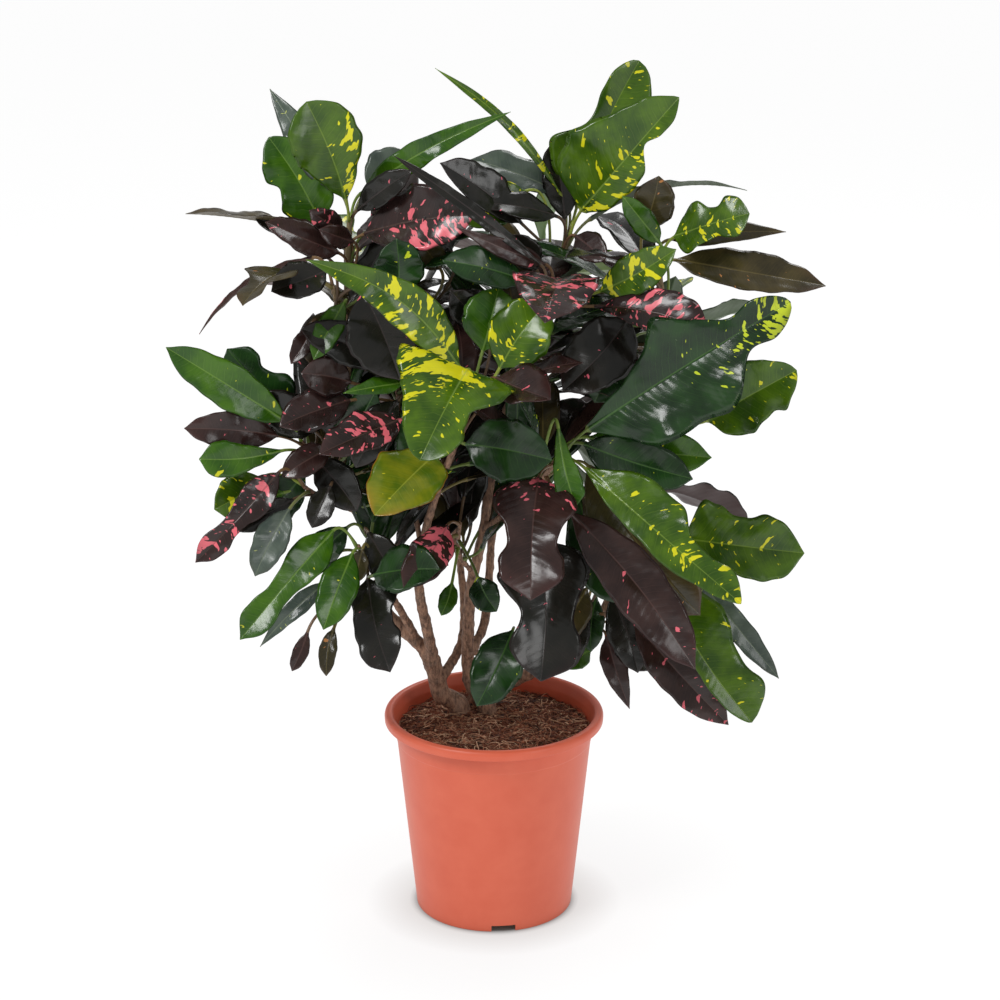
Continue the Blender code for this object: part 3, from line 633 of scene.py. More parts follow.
# %% Shoots: path in centimetres, first and last radius
SHOOTS = {
    "trunk_left": (
        "stem_left",
        ((-3.5, 3, 14), (-3.5, 3, 19.6), (-5.2, 2.3, 21.3), (-5.7, 2, 23.2), (-6.2, 1.6, 25.5)),
        (1.05, 0.85),
    ),
    "upper_left": (
        "stem_left",
        (
            (-5.7, 2, 23.2),
            (-7.2, 2, 26.6),
            (-10.8, 1.2, 31),
            (-10.6, 0.3, 37),
            (-14.6, -0.5, 44),
            (-14.2, 0, 50),
            (-14, 0, 57),
            (-14, 0, 63),
            (-13.6, 0, 71),
        ),
        (0.78, 0.28),
    ),
    "low_left": (
        "stem_left",
        ((-7.6, 2, 27.2), (-9.2, 0, 31.2), (-11, -4, 36), (-13, -7, 40.5)),
        (0.48, 0.24),
    ),
    "high_left": ("stem_left", ((-14, 0, 56), (-14.6, -2.5, 61), (-15, -4.5, 65.5)), (0.3, 0.2)),
    "left": ("stem_left", ((-14.2, -0.3, 43), (-16.5, -3, 47), (-18.5, -4.5, 50.5)), (0.3, 0.2)),
    "lower_left": (
        "stem_left",
        ((-13.2, -0.2, 41.6), (-16, -4, 44), (-18, -7, 46.5)),
        (0.3, 0.2),
    ),
    "front": (
        "stem_left",
        (
            (-5.8, 2, 23.6),
            (-6.6, 0.6, 29),
            (-7.3, -1.5, 34),
            (-6.8, -4, 40),
            (-5, -7, 47),
            (-3, -9.5, 53),
            (-1.8, -10.8, 57.5),
        ),
        (0.66, 0.24),
    ),
    "centre_left": (
        "stem_left",
        ((-6.9, -3.6, 39), (-8.6, -3.6, 48), (-9.2, -3.8, 57), (-9, -4, 63.5)),
        (0.3, 0.18),
    ),
    "back_left": (
        "stem_left",
        (
            (-5.6, 2, 22.8),
            (-3.6, 3.6, 25.5),
            (-3, 5, 29),
            (-3.8, 7, 36),
            (-6.5, 9.5, 46),
            (-10, 11.5, 55),
            (-12, 12.5, 61.5),
        ),
        (0.55, 0.22),
    ),
    "back_low_left": (
        "stem_left",
        ((-6, 9.1, 44.5), (-11.5, 10.5, 45.5), (-16.5, 11, 47.5)),
        (0.28, 0.18),
    ),
    "top": (
        "stem_centre",
        (
            (-0.7, 3, 14),
            (-0.7, 3, 19.6),
            (-2.3, 3, 22.1),
            (-2.6, 2.4, 26.7),
            (-2.2, 1.2, 33.5),
            (-1, 0, 39.6),
            (0.5, 0, 50),
            (3, 0.5, 58),
            (6, 1.5, 65),
            (7.4, 2, 69.5),
        ),
        (0.95, 0.24),
    ),
    "middle": (
        "stem_centre",
        ((0.4, 0, 49.5), (2.5, -3, 57), (4.5, -5, 62), (5, -6, 66)),
        (0.32, 0.2),
    ),
    "front_right": (
        "stem_centre",
        ((-1, 0, 39.6), (1.5, -4, 43), (4.5, -8, 47.5), (6.8, -10.5, 51.5)),
        (0.42, 0.24),
    ),
    "low_front": (
        "stem_centre",
        ((-2, 1, 34.8), (-3.4, -2.5, 38), (-3.2, -6, 42.5)),
        (0.28, 0.18),
    ),
    "back": (
        "stem_centre",
        (
            (-2.6, 2.4, 25.5),
            (-0.9, 4.4, 28.5),
            (-0.2, 6.3, 36.6),
            (1, 8.5, 43),
            (2.5, 11, 52),
            (4, 13.5, 62.5),
        ),
        (0.55, 0.22),
    ),
    "back_low": ("stem_centre", ((0.6, 8, 41.5), (1.6, 12.5, 44), (2, 16.5, 47.5)), (0.28, 0.18)),
    "low_centre": (
        "stem_centre",
        ((-2.6, 2.4, 25.5), (-0.8, -1.5, 27.6), (1.4, -5.6, 29.8)),
        (0.26, 0.18),
    ),
    "upper_right": (
        "stem_right",
        (
            (-1.8, 5.4, 14),
            (-1.8, 5.4, 19.6),
            (0.9, 4.9, 21.2),
            (4.1, 3.4, 23.4),
            (7.2, 1.6, 25.4),
            (10, 1, 29),
            (12.3, 0.5, 35),
            (15.4, 0, 45),
            (17, 0, 52),
            (16.4, -0.8, 60),
            (15.5, -2, 67.5),
        ),
        (0.85, 0.24),
    ),
    "low_right": ("stem_right", ((7.2, 1.6, 25.4), (8.2, -0.8, 28), (10, -1.5, 31.5)), (0.3, 0.2)),
    "back_right": (
        "stem_right",
        ((15, 0.2, 43.8), (16.5, 6, 49), (16, 12, 55)),
        (0.32, 0.2),
    ),
    "back_low_right": (
        "stem_right",
        ((11.8, 0.6, 33.5), (14.5, 6, 36.5), (15, 11, 40)),
        (0.3, 0.2),
    ),
}
print("shoots:", len(SHOOTS))


# %% Shoot tubes with nodes and scars
def shoot_line(name):
    """Points along a shoot in metres, with its radius at each, as the CAD model has them."""
    path = np.asarray(SHOOTS[name][1]) * CM
    first, last = (radius * CM for radius in SHOOTS[name][2])
    count = 2 * len(path) - 1
    radii = first + (last - first) * np.linspace(0, 1, count) ** 0.7
    line = catmull_rom(path, count)
    if line[0, 2] < SOIL_EDGE:
        line[1] = (line[0] + line[2]) / 2
        radii[:3] = first
    return line, radii


def arc_length(line):
    """Distance along a line from its first point to each of its points."""
    steps = np.linalg.norm(np.diff(line, axis=0), axis=1)
    return np.insert(np.cumsum(steps), 0, 0)


RING_STEP = 2.5 * MM
NODE_HALF_WIDTH = 2.2 * MM
SCAR_TURN = 2.4


def shoot_rings(name, sides=20):
    """Rings square to the shoot's line. Radius = the shoot's radius, plus a swelling at each
    node and a narrow lip on the side where the leaf was."""
    line, radii = shoot_line(name)
    total = arc_length(line)[-1]
    count = int(total / RING_STEP) + 2
    line, radii = catmull_rom(line, count), catmull_rom(radii, count)
    along = arc_length(line)
    tangents = unit(np.gradient(line, axis=0))
    across = unit(np.cross(tangents, (0.31, 0.95, 0.05)))
    upright = np.cross(tangents, across)
    angle = np.arange(sides) * math.tau / sides
    spacing = 9 * MM + 1.2 * radii.mean()
    nodes = np.arange(spacing, total, spacing)
    node_angle = np.arange(len(nodes)) * SCAR_TURN
    gap = (along[:, None, None] - nodes) / NODE_HALF_WIDTH
    facing = 0.5 + 0.5 * np.cos(angle[None, :, None] - node_angle)
    swelling = (np.exp(-(gap**2)) * (0.05 + 0.14 * facing**2)).sum(-1)
    radius = radii[:, None] * (1 + swelling)
    circle = across[:, None] * np.cos(angle)[:, None] - upright[:, None] * np.sin(angle)[:, None]
    return line[:, None] + circle * radius[..., None]


print("rings of the left trunk:", len(shoot_rings("trunk_left")))


# %% Tubes fused into stems
VOXEL = 1.1 * MM
BARK_RELIEF = 1 * MM


def fused(name, shoots):
    """The shoots' tubes remeshed into one skin of voxels, smoothed, with bark relief on it."""
    quads, fans, points, first = [], [], [], 0
    for shoot in shoots:
        rings = shoot_rings(shoot)
        faces = loft_faces(*rings.shape[:2], first)
        quads.append(faces[0])
        fans.append(faces[1])
        points.append(rings.reshape(-1, 3))
        first += points[-1].shape[0]
    mesh = mesh_of(name, np.concatenate(points), np.concatenate(quads), np.concatenate(fans))
    made = bpy.data.objects.new(name, mesh)
    scene.collection.objects.link(made)
    remesh = made.modifiers.new("fuse", "REMESH")
    remesh.mode = "VOXEL"
    remesh.voxel_size = VOXEL
    ease = made.modifiers.new("ease", "SMOOTH")
    ease.factor = 0.5
    ease.iterations = 4
    graph = bpy.context.evaluated_depsgraph_get()
    result = bpy.data.meshes.new_from_object(made.evaluated_get(graph))
    bpy.data.objects.remove(made)
    count = len(result.vertices)
    place, facing = np.empty((2, count * 3), np.float32)
    result.vertices.foreach_get("co", place)
    result.vertices.foreach_get("normal", facing)
    place, facing = place.reshape(-1, 3).astype(float), facing.reshape(-1, 3)
    x, y, z = place.T
    furrow = waves(x * 3 + y, y * 3 - z * 0.35, 16 * MM, 16, 21)
    lump = waves(x + z * 0.8, y - z * 0.5, 22 * MM, 12, 22)
    old = smoothstep(0.62, 0.2, z)
    depth = (0.25 + 0.75 * old) * BARK_RELIEF
    place += facing * (depth * (0.75 * furrow + 0.7 * lump))[:, None]
    result.vertices.foreach_set("co", place.astype(np.float32).ravel())
    result.polygons.foreach_set("use_smooth", np.ones(len(result.polygons), dtype=bool))
    result.name = name
    result.update()
    return result


print("voxel, mm:", round(VOXEL / MM, 1))


# %% [markdown]
# Croton bark is thin and grey-brown, with cracks and scars that run round it low down, and it
# turns green-brown on the young shoots. The pattern is stretched along Z so that it reads as
# fibres of about 2 mm, and a coarser one lays grey patches over it.

# %% Grey-brown croton bark
bark, tree, shader = new_material("croton_bark")
place = node(tree, "TexCoord").outputs["Object"]
drawn = node(tree, "Mapping", None, place, Scale=(1, 1, 0.35))
fissures = node(tree, "TexNoise", None, drawn, Scale=330, Detail=5, Roughness=0.7)
patches = node(tree, "TexNoise", None, place, Scale=75, Detail=4)
ramp = node(tree, "ValToRGB", None, fissures)
crack, crest = ramp.color_ramp.elements
crack.position, crack.color = 0.32, linear("#36231b")
crest.position, crest.color = 0.66, linear("#b48a70")
grey = node(tree, "MapRange", None, patches, 0.52, 0.74, 0, 0.4)
aged = node(tree, "Mix", COLOURS, grey, ramp, linear("#957d6c"))
height = node(tree, "SeparateXYZ", None, place).outputs["Z"]
young = node(tree, "MapRange", None, height, 0.5, 0.68, 0, 0.6)
colour = node(tree, "Mix", COLOURS, young, aged, linear("#5f6138"))
tree.links.new(colour.outputs[2], shader.inputs["Base Color"])
relief = node(tree, "Math", ADD, fissures, patches)
bump = node(tree, "Bump", Strength=0.8, Distance=0.0012, Height=relief)
tree.links.new(bump.outputs[0], shader.inputs["Normal"])
shader.inputs["Roughness"].default_value = 0.72
print("bark nodes:", len(tree.nodes))

# %% The three stems
for stem in ("stem_left", "stem_centre", "stem_right"):
    names = [name for name, shoot in SHOOTS.items() if shoot[0] == stem]
    wood = fused(f"bark_of_{stem}", names)
    add_piece(f"bark_of_{stem}", wood, bark, "bark", stem)
    print(stem, "shoots:", len(names), "faces:", len(wood.polygons))

# %% [markdown]
# ## Leaf skins
#
# A croton leaf is leathery and waxy. Its colours lie in the tissue between the side veins:
# patches of yellow or pink that start at the midrib and run out along the veins. So the
# patterns need the leaf's own coordinates. Each leaf's mesh carries three attributes: `blade`
# holds the millimetres across and along the blade and a seed, `place` holds the share out to
# the margin, the share towards the tip and a flag for the underside, and `marks` holds how
# richly each point is splashed. The side veins follow the line along - 0.45 across - 0.008
# across squared, spaced some 7.5 mm, and the splashes are noise stretched along that line. One
# function makes every skin from its own row of colours.

# %% Colours of each leaf skin
# deep and light tissue, veins, splash, margin, underside, stalk; share of the blade splashed
SKINS = {
    "bright_green": ("#22480a #466e10 #7fa046 #d9d628 #3c5f24 #6f8a54 #7f9644", 0.03),
    "dark_green": ("#0f2410 #214218 #4f7634 #c4d22c #1a331a #48583c #66763a", 0.03),
    "splashed_yellow": ("#294809 #52720f #86a03c #dfd91c #4c6a22 #768c4c #8d9a40", 0.3),
    "golden": ("#47620f #87881c #aab040 #dccb2a #b06a26 #94984a #979a40", 0.25),
    "near_black": ("#12130f #22201b #3c3130 #e2687a #2f1c1d #3f2d2c #5e4a38", 0.01),
    "wine": ("#251614 #3d2925 #614540 #e86c7a #4b2a28 #553a34 #73563c", 0.03),
    "pink_splashed": ("#1f1513 #362523 #5a4038 #ee707c #452726 #4f3732 #755a3c", 0.3),
    "slate": ("#3a4640 #5c685c #7f8a72 #b9c06a #4c4c40 #6f7a68 #7c8050", 0.02),
    "olive": ("#2f2a18 #4f4527 #74663c #c08048 #53352a #5a5038 #75693c", 0.03),
}
VEIN_SPACING = 7.5
VEIN_LEAN = 0.45
VEIN_CURVE = 0.008
print("skins:", len(SKINS), "side veins every", VEIN_SPACING, "mm")


# %% One function for every leaf skin
def leaf_skin(name):
    """Leathery croton leaf: tissue, veins, splashes, margin, underside and stalk, in layers.

    A mask is a map range with an S-curve: value, low, high, then what low and high turn into.
    """
    colours = (linear(colour) for colour in SKINS[name][0].split())
    deep, light, rib, splash, margin, under, stalk = colours
    made, tree, shader = new_material(f"leathery_leaf_{name}")
    add = partial(node, tree)
    blade = add("Attribute", {"attribute_name": "blade"}).outputs["Vector"]
    across, along, seed = add("SeparateXYZ", None, blade).outputs
    place = add("Attribute", {"attribute_name": "place"}).outputs["Vector"]
    out, up, below = add("SeparateXYZ", None, place).outputs
    marks = add("Attribute", {"attribute_name": "marks"}).outputs["Fac"]
    surface = add("CombineXYZ", None, across, along, seed)

    # The line that the side veins follow, shaken a little by noise of 11 mm
    away = add("Math", ABSOLUTE, across)
    lead = add("Math", MULTIPLY_ADD, away, -VEIN_LEAN, along)
    squared = add("Math", MULTIPLY, away, away)
    curved = add("Math", MULTIPLY_ADD, squared, -VEIN_CURVE, lead)
    shaken = add("TexNoise", None, surface, Scale=0.09, Detail=1)
    vein_line = add("Math", MULTIPLY_ADD, shaken, 5.0, curved)

    # Veins: thin uneven lines that fade at the margin, and a midrib that narrows to the tip
    off_vein = add("Math", PINGPONG, vein_line, VEIN_SPACING / 2)
    thin = add("MapRange", EASED, off_vein, 0.05, 0.7, 1, 0)
    fade = add("MapRange", EASED, out, 0.3, 0.95, 1, 0)
    vein = add("Math", MULTIPLY, thin, fade)
    rib_edge = add("Math", MULTIPLY_ADD, up, -0.6, 0.75)
    off_rib = add("Math", SUBTRACT, away, rib_edge)
    midrib = add("MapRange", EASED, off_rib, -0.15, 0.45, 1, 0)
    faint = add("Math", MULTIPLY, vein, 0.12)
    clear = add("Math", MULTIPLY, midrib, 0.42)
    lines = add("Math", MAXIMUM, faint, clear)

    # Tissue: clouds of 25 mm from deep to light, and deep by the veins and lighter between them:
    # painted shade where the tissue dips to the veins and painted light on its swelling between
    # them
    clouds = add("TexNoise", None, surface, Scale=0.04, Detail=3)
    between = add("MapRange", EASED, off_vein, 0.3, 3.6, 0, 1)
    cloudy = add("MapRange", EASED, clouds, 0.3, 0.72, 0, 1)
    tone = add("Math", MULTIPLY_ADD, between, 0.14, cloudy)
    share = add("Math", MULTIPLY, tone, 0.78)
    tissue = add("Mix", COLOURS, share, deep, light)

    # Splashes: large patches and short dashes, both drawn out along the side veins. Each leaf's
    # own `marks` says how far the bar that they must clear is lowered at each point
    lowered = add("Math", MULTIPLY, marks, 0.5)
    less = add("Math", MULTIPLY, lowered, 0.6)
    splashes = []
    for width, height, detail, by, bar in (
        (15.0, 9.0, 2.0, lowered, 0.735),
        (7.0, 3.2, 1.5, less, 0.765),
    ):
        x = add("Math", MULTIPLY, across, 1 / width)
        y = add("Math", MULTIPLY, vein_line, 1 / height)
        drawn = add("CombineXYZ", None, x, y, seed)
        noise = add("TexNoise", None, drawn, Scale=1.0, Detail=detail)
        raised = add("Math", ADD, noise, by)
        splashes.append(add("MapRange", EASED, raised, bar, bar + 0.02, 0, 1))
    splashed = add("Math", MAXIMUM, *splashes)
    share = add("Math", MULTIPLY, splashed, 0.93)
    coloured = add("Mix", COLOURS, share, tissue, splash)
    veined = add("Mix", COLOURS, lines, coloured, rib)

    # The margin and the oldest tissue near the tip take the margin's colour
    tip = add("MapRange", EASED, up, 0.72, 1.05, 0, 1)
    outer = add("MapRange", EASED, out, 0.1, 1.2, 0, 1)
    aged = add("Math", MULTIPLY, tip, outer)
    rim = add("MapRange", EASED, out, 0.955, 0.995, 0, 1)
    border = add("Math", MAXIMUM, rim, aged)
    share = add("Math", MULTIPLY, border, 0.7)
    edged = add("Mix", COLOURS, share, veined, margin)

    # The underside is paler with clearer veins, and the stalk lies below the blade's start
    share = add("Math", MULTIPLY, lines, 0.8)
    back = add("Mix", COLOURS, share, under, rib)
    turned = add("MapRange", EASED, below, 0.45, 0.6, 0, 1)
    sides = add("Mix", COLOURS, turned, edged, back)
    stalked = add("MapRange", EASED, up, -0.004, 0.012, 1, 0)
    whole = add("Mix", COLOURS, stalked, sides, stalk)
    tree.links.new(whole.outputs[2], shader.inputs["Base Color"])

    # Relief: veins pressed in by 0.3 mm on top, and the fine pebbling of the wax
    pebbles = add("TexNoise", None, surface, Scale=1.1, Detail=2)
    swelling = add("Math", MULTIPLY, between, 0.22)
    pressed = add("Math", MULTIPLY_ADD, lines, -0.7, swelling)
    relief = add("Math", MULTIPLY_ADD, pebbles, 0.35, pressed)
    bump = add("Bump", Strength=0.5, Distance=0.0004, Height=relief)
    tree.links.new(bump.outputs[0], shader.inputs["Normal"])
    gloss = add("Math", MULTIPLY_ADD, turned, 0.28, 0.2)
    tree.links.new(gloss.outputs[0], shader.inputs["Roughness"])
    shader.inputs["IOR"].default_value = 1.45
    return made


leaf_finishes = {name: leaf_skin(name) for name in SKINS}
print("leaf skins:", ", ".join(leaf_finishes))

# %% [markdown]
# ## The shape of a leaf
#
# A croton leaf hangs from its shoot on a round stalk, and its blade may be oval, pinched like a
# fiddle or lobed. It is one closed loft here: rings of points run from the stalk's foot to the
# tip, over the upper side and back along the underside, and meet at the margin. The midrib is a
# line with a bow and a sway, each half rises from it by the fold angle, and the blade twists
# slowly towards its tip. The tissue swells between the side veins, and the margin ripples.

# %% Half-widths of the blade at nine even stations from stalk to tip
OUTLINES = {
    "oval": (0.06, 0.50, 0.80, 0.96, 1.00, 0.95, 0.82, 0.56, 0.03),
    "obovate": (0.06, 0.32, 0.54, 0.75, 0.92, 1.00, 0.97, 0.74, 0.06),
    "lance": (0.06, 0.62, 0.92, 1.00, 0.92, 0.76, 0.56, 0.30, 0.02),
    "strap": (0.10, 0.55, 0.82, 0.96, 1.00, 0.95, 0.80, 0.50, 0.02),
    "fiddle": (0.06, 0.66, 0.98, 0.92, 0.66, 0.60, 0.80, 0.70, 0.03),
    "lobed": (0.06, 0.45, 0.95, 0.98, 0.52, 0.42, 0.48, 0.38, 0.03),
    "wavy_oval": (
        (0.10, 0.80, 1.00, 0.90, 0.75, 0.95, 0.90, 0.60, 0.05),
        (0.10, 0.70, 0.90, 1.00, 0.90, 0.75, 0.85, 0.55, 0.05),
    ),
    "wavy": (
        (0.10, 0.95, 1.00, 0.75, 0.70, 0.85, 0.75, 0.50, 0.03),
        (0.10, 0.60, 0.70, 0.70, 0.75, 0.80, 0.80, 0.60, 0.03),
    ),
    "two_lobed": (
        (0.06, 0.50, 0.90, 0.95, 0.45, 0.38, 0.42, 0.40, 0.04),
        (0.06, 0.50, 0.95, 1.00, 0.60, 0.55, 0.65, 0.55, 0.04),
    ),
    "oak_like": (
        (0.06, 0.18, 0.28, 0.48, 0.84, 0.50, 0.26, 0.32, 0.04),
        (0.06, 0.45, 0.74, 0.80, 0.84, 0.78, 0.32, 0.32, 0.04),
    ),
    "splayed": (
        (0.10, 0.75, 0.85, 0.80, 0.42, 0.42, 0.50, 0.40, 0.02),
        (0.10, 0.86, 1.00, 0.90, 0.72, 0.60, 0.52, 0.35, 0.02),
    ),
    "notched": (
        (0.06, 0.55, 0.90, 1.00, 1.00, 0.50, 0.45, 0.55, 0.02),
        (0.06, 0.25, 0.40, 0.50, 0.55, 0.60, 0.50, 0.35, 0.02),
    ),
    "half_folded": (
        (0.06, 0.60, 0.85, 0.95, 0.80, 0.68, 0.72, 0.75, 0.02),
        (0.06, 0.20, 0.25, 0.25, 0.28, 0.30, 0.30, 0.25, 0.02),
    ),
    "half_turned": (
        (0.10, 0.75, 0.95, 1.00, 0.90, 0.75, 0.55, 0.40, 0.03),
        (0.10, 0.35, 0.40, 0.45, 0.42, 0.10, 0.20, 0.20, 0.02),
    ),
    "spoon": (0.10, 0.30, 0.46, 0.62, 0.80, 0.95, 1.00, 0.84, 0.04),
}
print("outlines:", ", ".join(OUTLINES))


# %% Where a stalk leaves its shoot
NODE_SPACING = 7 * MM


def stalk_foot(shoot, rank, blade_start):
    """Where the stalk leaves the shoot: on the side that faces the blade, and no nearer the
    shoot's tip than the leaf's rank allows. It starts just under the bark."""
    line, radii = shoot_line(shoot)
    line = catmull_rom(line, 12 * len(line))
    radii = catmull_rom(radii, len(line))
    reach = np.linalg.norm(blade_start - line, axis=1)
    below = blade_start - (0, 0, 0.3 * reach.min())
    nearest = np.argmin(np.linalg.norm(below - line, axis=1))
    along = arc_length(line)
    rank = min(rank, along[-1] / NODE_SPACING - 1)
    allowed = np.flatnonzero(along[-1] - along >= NODE_SPACING * (rank + 0.3))[-1]
    place = min(nearest, allowed)
    tangent = unit(np.gradient(line, axis=0))[place]
    outward = blade_start - line[place]
    outward = unit(outward - tangent * np.dot(outward, tangent))
    return line[place] + outward * (radii[place] * 0.6)


foot = stalk_foot("top", 0, np.array([8, 4.5, 71]) * CM)
print("a stalk's foot, cm:", (foot / CM).round(1))


# %% The frame of a blade
STALK_RADIUS = 1.7 * MM
BLADE_HALF = 0.22 * MM
STALK_KNEE = 0.4


def blade_frame(start, end, face, bow, sway, twist, share):
    """The midrib at each share of the blade, with the axes to its right and up from it.

    Midrib = straight line + bow along the face (a parabola) + sway across (half a sine wave).
    The axes turn about the midrib by the twist, which grows towards the tip.
    """
    length = np.linalg.norm(end - start)
    heading = (end - start) / length
    normal = unit(face - heading * np.dot(face, heading))
    side = np.cross(heading, normal)
    midrib = start + heading * (share * length)[:, None]
    midrib = midrib + normal * (bow * length * 4 * share * (1 - share))[:, None]
    midrib = midrib + side * (sway * length * np.sin(math.pi * share))[:, None]
    tangent = unit(np.gradient(midrib, axis=0))
    right = unit(np.cross(tangent, normal))
    upward = np.cross(right, tangent)
    turn = (twist * smoothstep(0.05, 1, share))[:, None]
    turned_right = right * np.cos(turn) + upward * np.sin(turn)
    turned_up = upward * np.cos(turn) - right * np.sin(turn)
    return midrib, tangent, turned_right, turned_up


def half_widths(outline, width, tip, share, across, phase):
    """Half of the blade's width at each row, for each column on its own side of the midrib:
    the outline, made a little uneven by two sine waves, rounded off at the tip and no
    narrower than the stalk where it joins."""
    lobes = np.array(OUTLINES[outline], ndmin=2)
    lobes[:, -1] = lobes[:, -2] * tip
    both = np.stack([catmull_rom(lobe, len(share)) for lobe in (lobes[0], lobes[-1])], axis=1)
    both = both * width * CM / 2
    rounded = np.sqrt(1 - np.clip((share - 0.93) / 0.07, 0, 1) ** 2)
    uneven = 1 + 0.03 * np.sin(share[:, None] * 17 + phase[0])
    uneven = uneven + 0.02 * np.sin(share[:, None] * 37 + phase[1])
    both = np.maximum(both * rounded[:, None] * uneven, 0.3 * MM)
    both = np.maximum(both, STALK_RADIUS * np.clip(1 - share * 12, 0, 1)[:, None])
    return np.where(across[None] < 0, both[:, :1], both[:, 1:])


even = np.linspace(0, 1, 20)
oval = half_widths("oval", 5, 0.15, even, np.array([-1, 1]), np.zeros((4, 2)))
print("widest half of an oval 5 cm wide, mm:", round(oval.max() / MM, 1))


# %% The surfaces of a blade, and its stalk
def blade_surfaces(half, share, across, length, habit, shape, seed):
    """Distance across, and heights of the upper side and the underside, at each row and column.

    Height = half-width * sin(fold) * |across|^0.85 + ripple of the margin + swelling between
    the side veins + pucker. The two sides lie a blade's half-thickness over and under it and
    meet at the margin, and the midrib stands out below.
    """
    fold, ripple, ripples, phase = habit
    out = np.abs(across)[None]
    away = out * half / MM
    along = (share * length / MM)[:, None]
    vein_line = along - VEIN_LEAN * away - VEIN_CURVE * away**2
    between = np.abs(np.sin(vein_line * math.pi / VEIN_SPACING)) ** 0.8
    tip_fade = smoothstep(1, 0.9, share)[:, None] * smoothstep(0, 0.1, share)[:, None]
    swelling = shape.get("swell", 0.2) * MM * between * (1 - out**4) * tip_fade
    pucker = waves(across[None] * half + seed, share[:, None] * length, 34 * MM, 8, seed)
    turns = share * math.tau * ripples
    wobble = np.sin(turns + phase[2, 0])[:, None] * (across[None] > 0)
    wobble = wobble + np.sin(turns + phase[2, 1])[:, None] * (across[None] <= 0)
    full = half / half.max()
    lift = half * math.sin(fold) * out**0.85
    lift = lift + ripple * wobble * out**1.6 * full + swelling
    lift = lift + pucker * shape.get("pucker", 2.6) * MM * out * full
    edge = np.sqrt(1 - out**8)
    core = np.exp(-((away * MM / (1.3 * MM)) ** 2))
    ridge = STALK_RADIUS * smoothstep(0.22, 0, share)[:, None]
    crest = ridge + 0.15 * MM * (1 - share[:, None])
    rib = ridge + 0.8 * MM * (1 - 0.8 * share[:, None])
    top = lift + BLADE_HALF * edge + crest * core * edge
    bottom = lift - BLADE_HALF * edge - rib * core * edge
    return across[None] * half * math.cos(fold), top, bottom


def stalk_line(foot, start, tangent, right, length):
    """Points of the round stalk from its foot to the blade, as a quadratic curve that leaves
    the blade along its midrib, with the axes and the radius at each point."""
    rows = max(6, int(length / (3.5 * MM)))
    t = np.linspace(0, 1, rows, endpoint=False)[:, None]
    knee = start - tangent * STALK_KNEE * length
    line = (1 - t) ** 2 * foot + 2 * t * (1 - t) * knee + t**2 * start
    way = unit((1 - t) * (knee - foot) + t * (start - knee))
    aside = unit(right - way * (way @ right)[:, None])
    thick = STALK_RADIUS * (0.8 + 0.45 * np.exp(-(t[:, 0] * 6) ** 2) + 0.15 * t[:, 0] ** 4)
    return t[:, 0], line, aside, np.cross(aside, way), thick


print("blade, mm thick:", round(2 * BLADE_HALF / MM, 2))


# %% A leaf as a grid of rings
SEED_STEP = 3.7


def leaf_grid(foot, start, end, width, face, bow, outline, seed, step, columns, **shape):
    """Rings of points from the stalk's foot to the blade's tip, over the upper side and back
    along the underside, with the three attributes of each point. What the leaf's shape does not
    set is drawn from its seed."""
    dice = np.random.default_rng(seed)
    fold = math.radians(shape.get("fold", dice.uniform(8, 17)))
    twist = math.radians(shape.get("twist", dice.uniform(-15, 15)))
    sway = shape.get("sway", dice.uniform(-0.045, 0.045))
    ripple = shape.get("ripple", dice.uniform(0.2, 0.55) * width) * MM
    ripples = shape.get("ripples", dice.uniform(1.5, 3.2))
    phase = dice.uniform(0, math.tau, (4, 2))
    length = np.linalg.norm(end - start)
    share = np.linspace(0, 1, max(12, int(length / step)))
    step_across = np.linspace(-1, 1, columns)
    across = np.sign(step_across) * np.abs(step_across) ** 1.4

    midrib, tangent, right, upward = blade_frame(start, end, face, bow, sway, twist, share)
    half = half_widths(outline, width, shape.get("tip", 0.15), share, across, phase)
    habit = (fold, ripple, ripples, phase)
    flat, top, bottom = blade_surfaces(half, share, across, length, habit, shape, seed)
    stalk_length = np.linalg.norm(start - foot)
    t, stalk, aside, above, thick = stalk_line(foot, start, tangent[0], right[0], stalk_length)
    bend = np.sin(step_across * math.pi / 2)[None] * thick[:, None]
    crest = np.cos(step_across * math.pi / 2)[None] * thick[:, None]

    line = np.concatenate((stalk, midrib))
    right = np.concatenate((aside, right))
    upward = np.concatenate((above, upward))
    flat = np.concatenate((bend, flat))
    top = np.concatenate((crest, top))
    bottom = np.concatenate((-crest, bottom))
    level = line[:, None] + right[:, None] * flat[..., None]
    upper = level + upward[:, None] * top[..., None]
    lower = level + upward[:, None] * bottom[..., None]
    rings = np.concatenate((upper, lower[:, -2:0:-1]), axis=1)

    along = np.concatenate(((t - 1) * stalk_length / MM, share * length / MM))
    up = np.concatenate((t - 1, share))
    ring_columns = np.concatenate((np.arange(columns), np.arange(columns - 2, 0, -1)))
    under = np.concatenate((np.zeros(columns), np.ones(columns - 2)))
    signed = flat[:, ring_columns] / MM
    out = np.abs(across)[ring_columns]
    blade = np.stack(np.broadcast_arrays(signed, along[:, None], seed * SEED_STEP), axis=2)
    place = np.stack(np.broadcast_arrays(out[None], up[:, None], under[None]), axis=2)
    stalked, middle, tipped, lean = shape.get("marks", (0, 0, 0, 0))
    richness = np.interp(up, (0, 0.5, 1), (stalked, middle, tipped))[:, None]
    richness = richness * (1 + lean * across[ring_columns][None])
    return rings, blade, place, across, richness


one_leaf = leaf_grid(
    np.zeros(3), np.array([0, 0, 0.03]), np.array([0, 0, 0.13]), 4, np.array([0, -1, 0]), 0.05,
    "oval", 1, 2 * MM, 15,
)
print("rings and points round a leaf:", one_leaf[0].shape[:2])


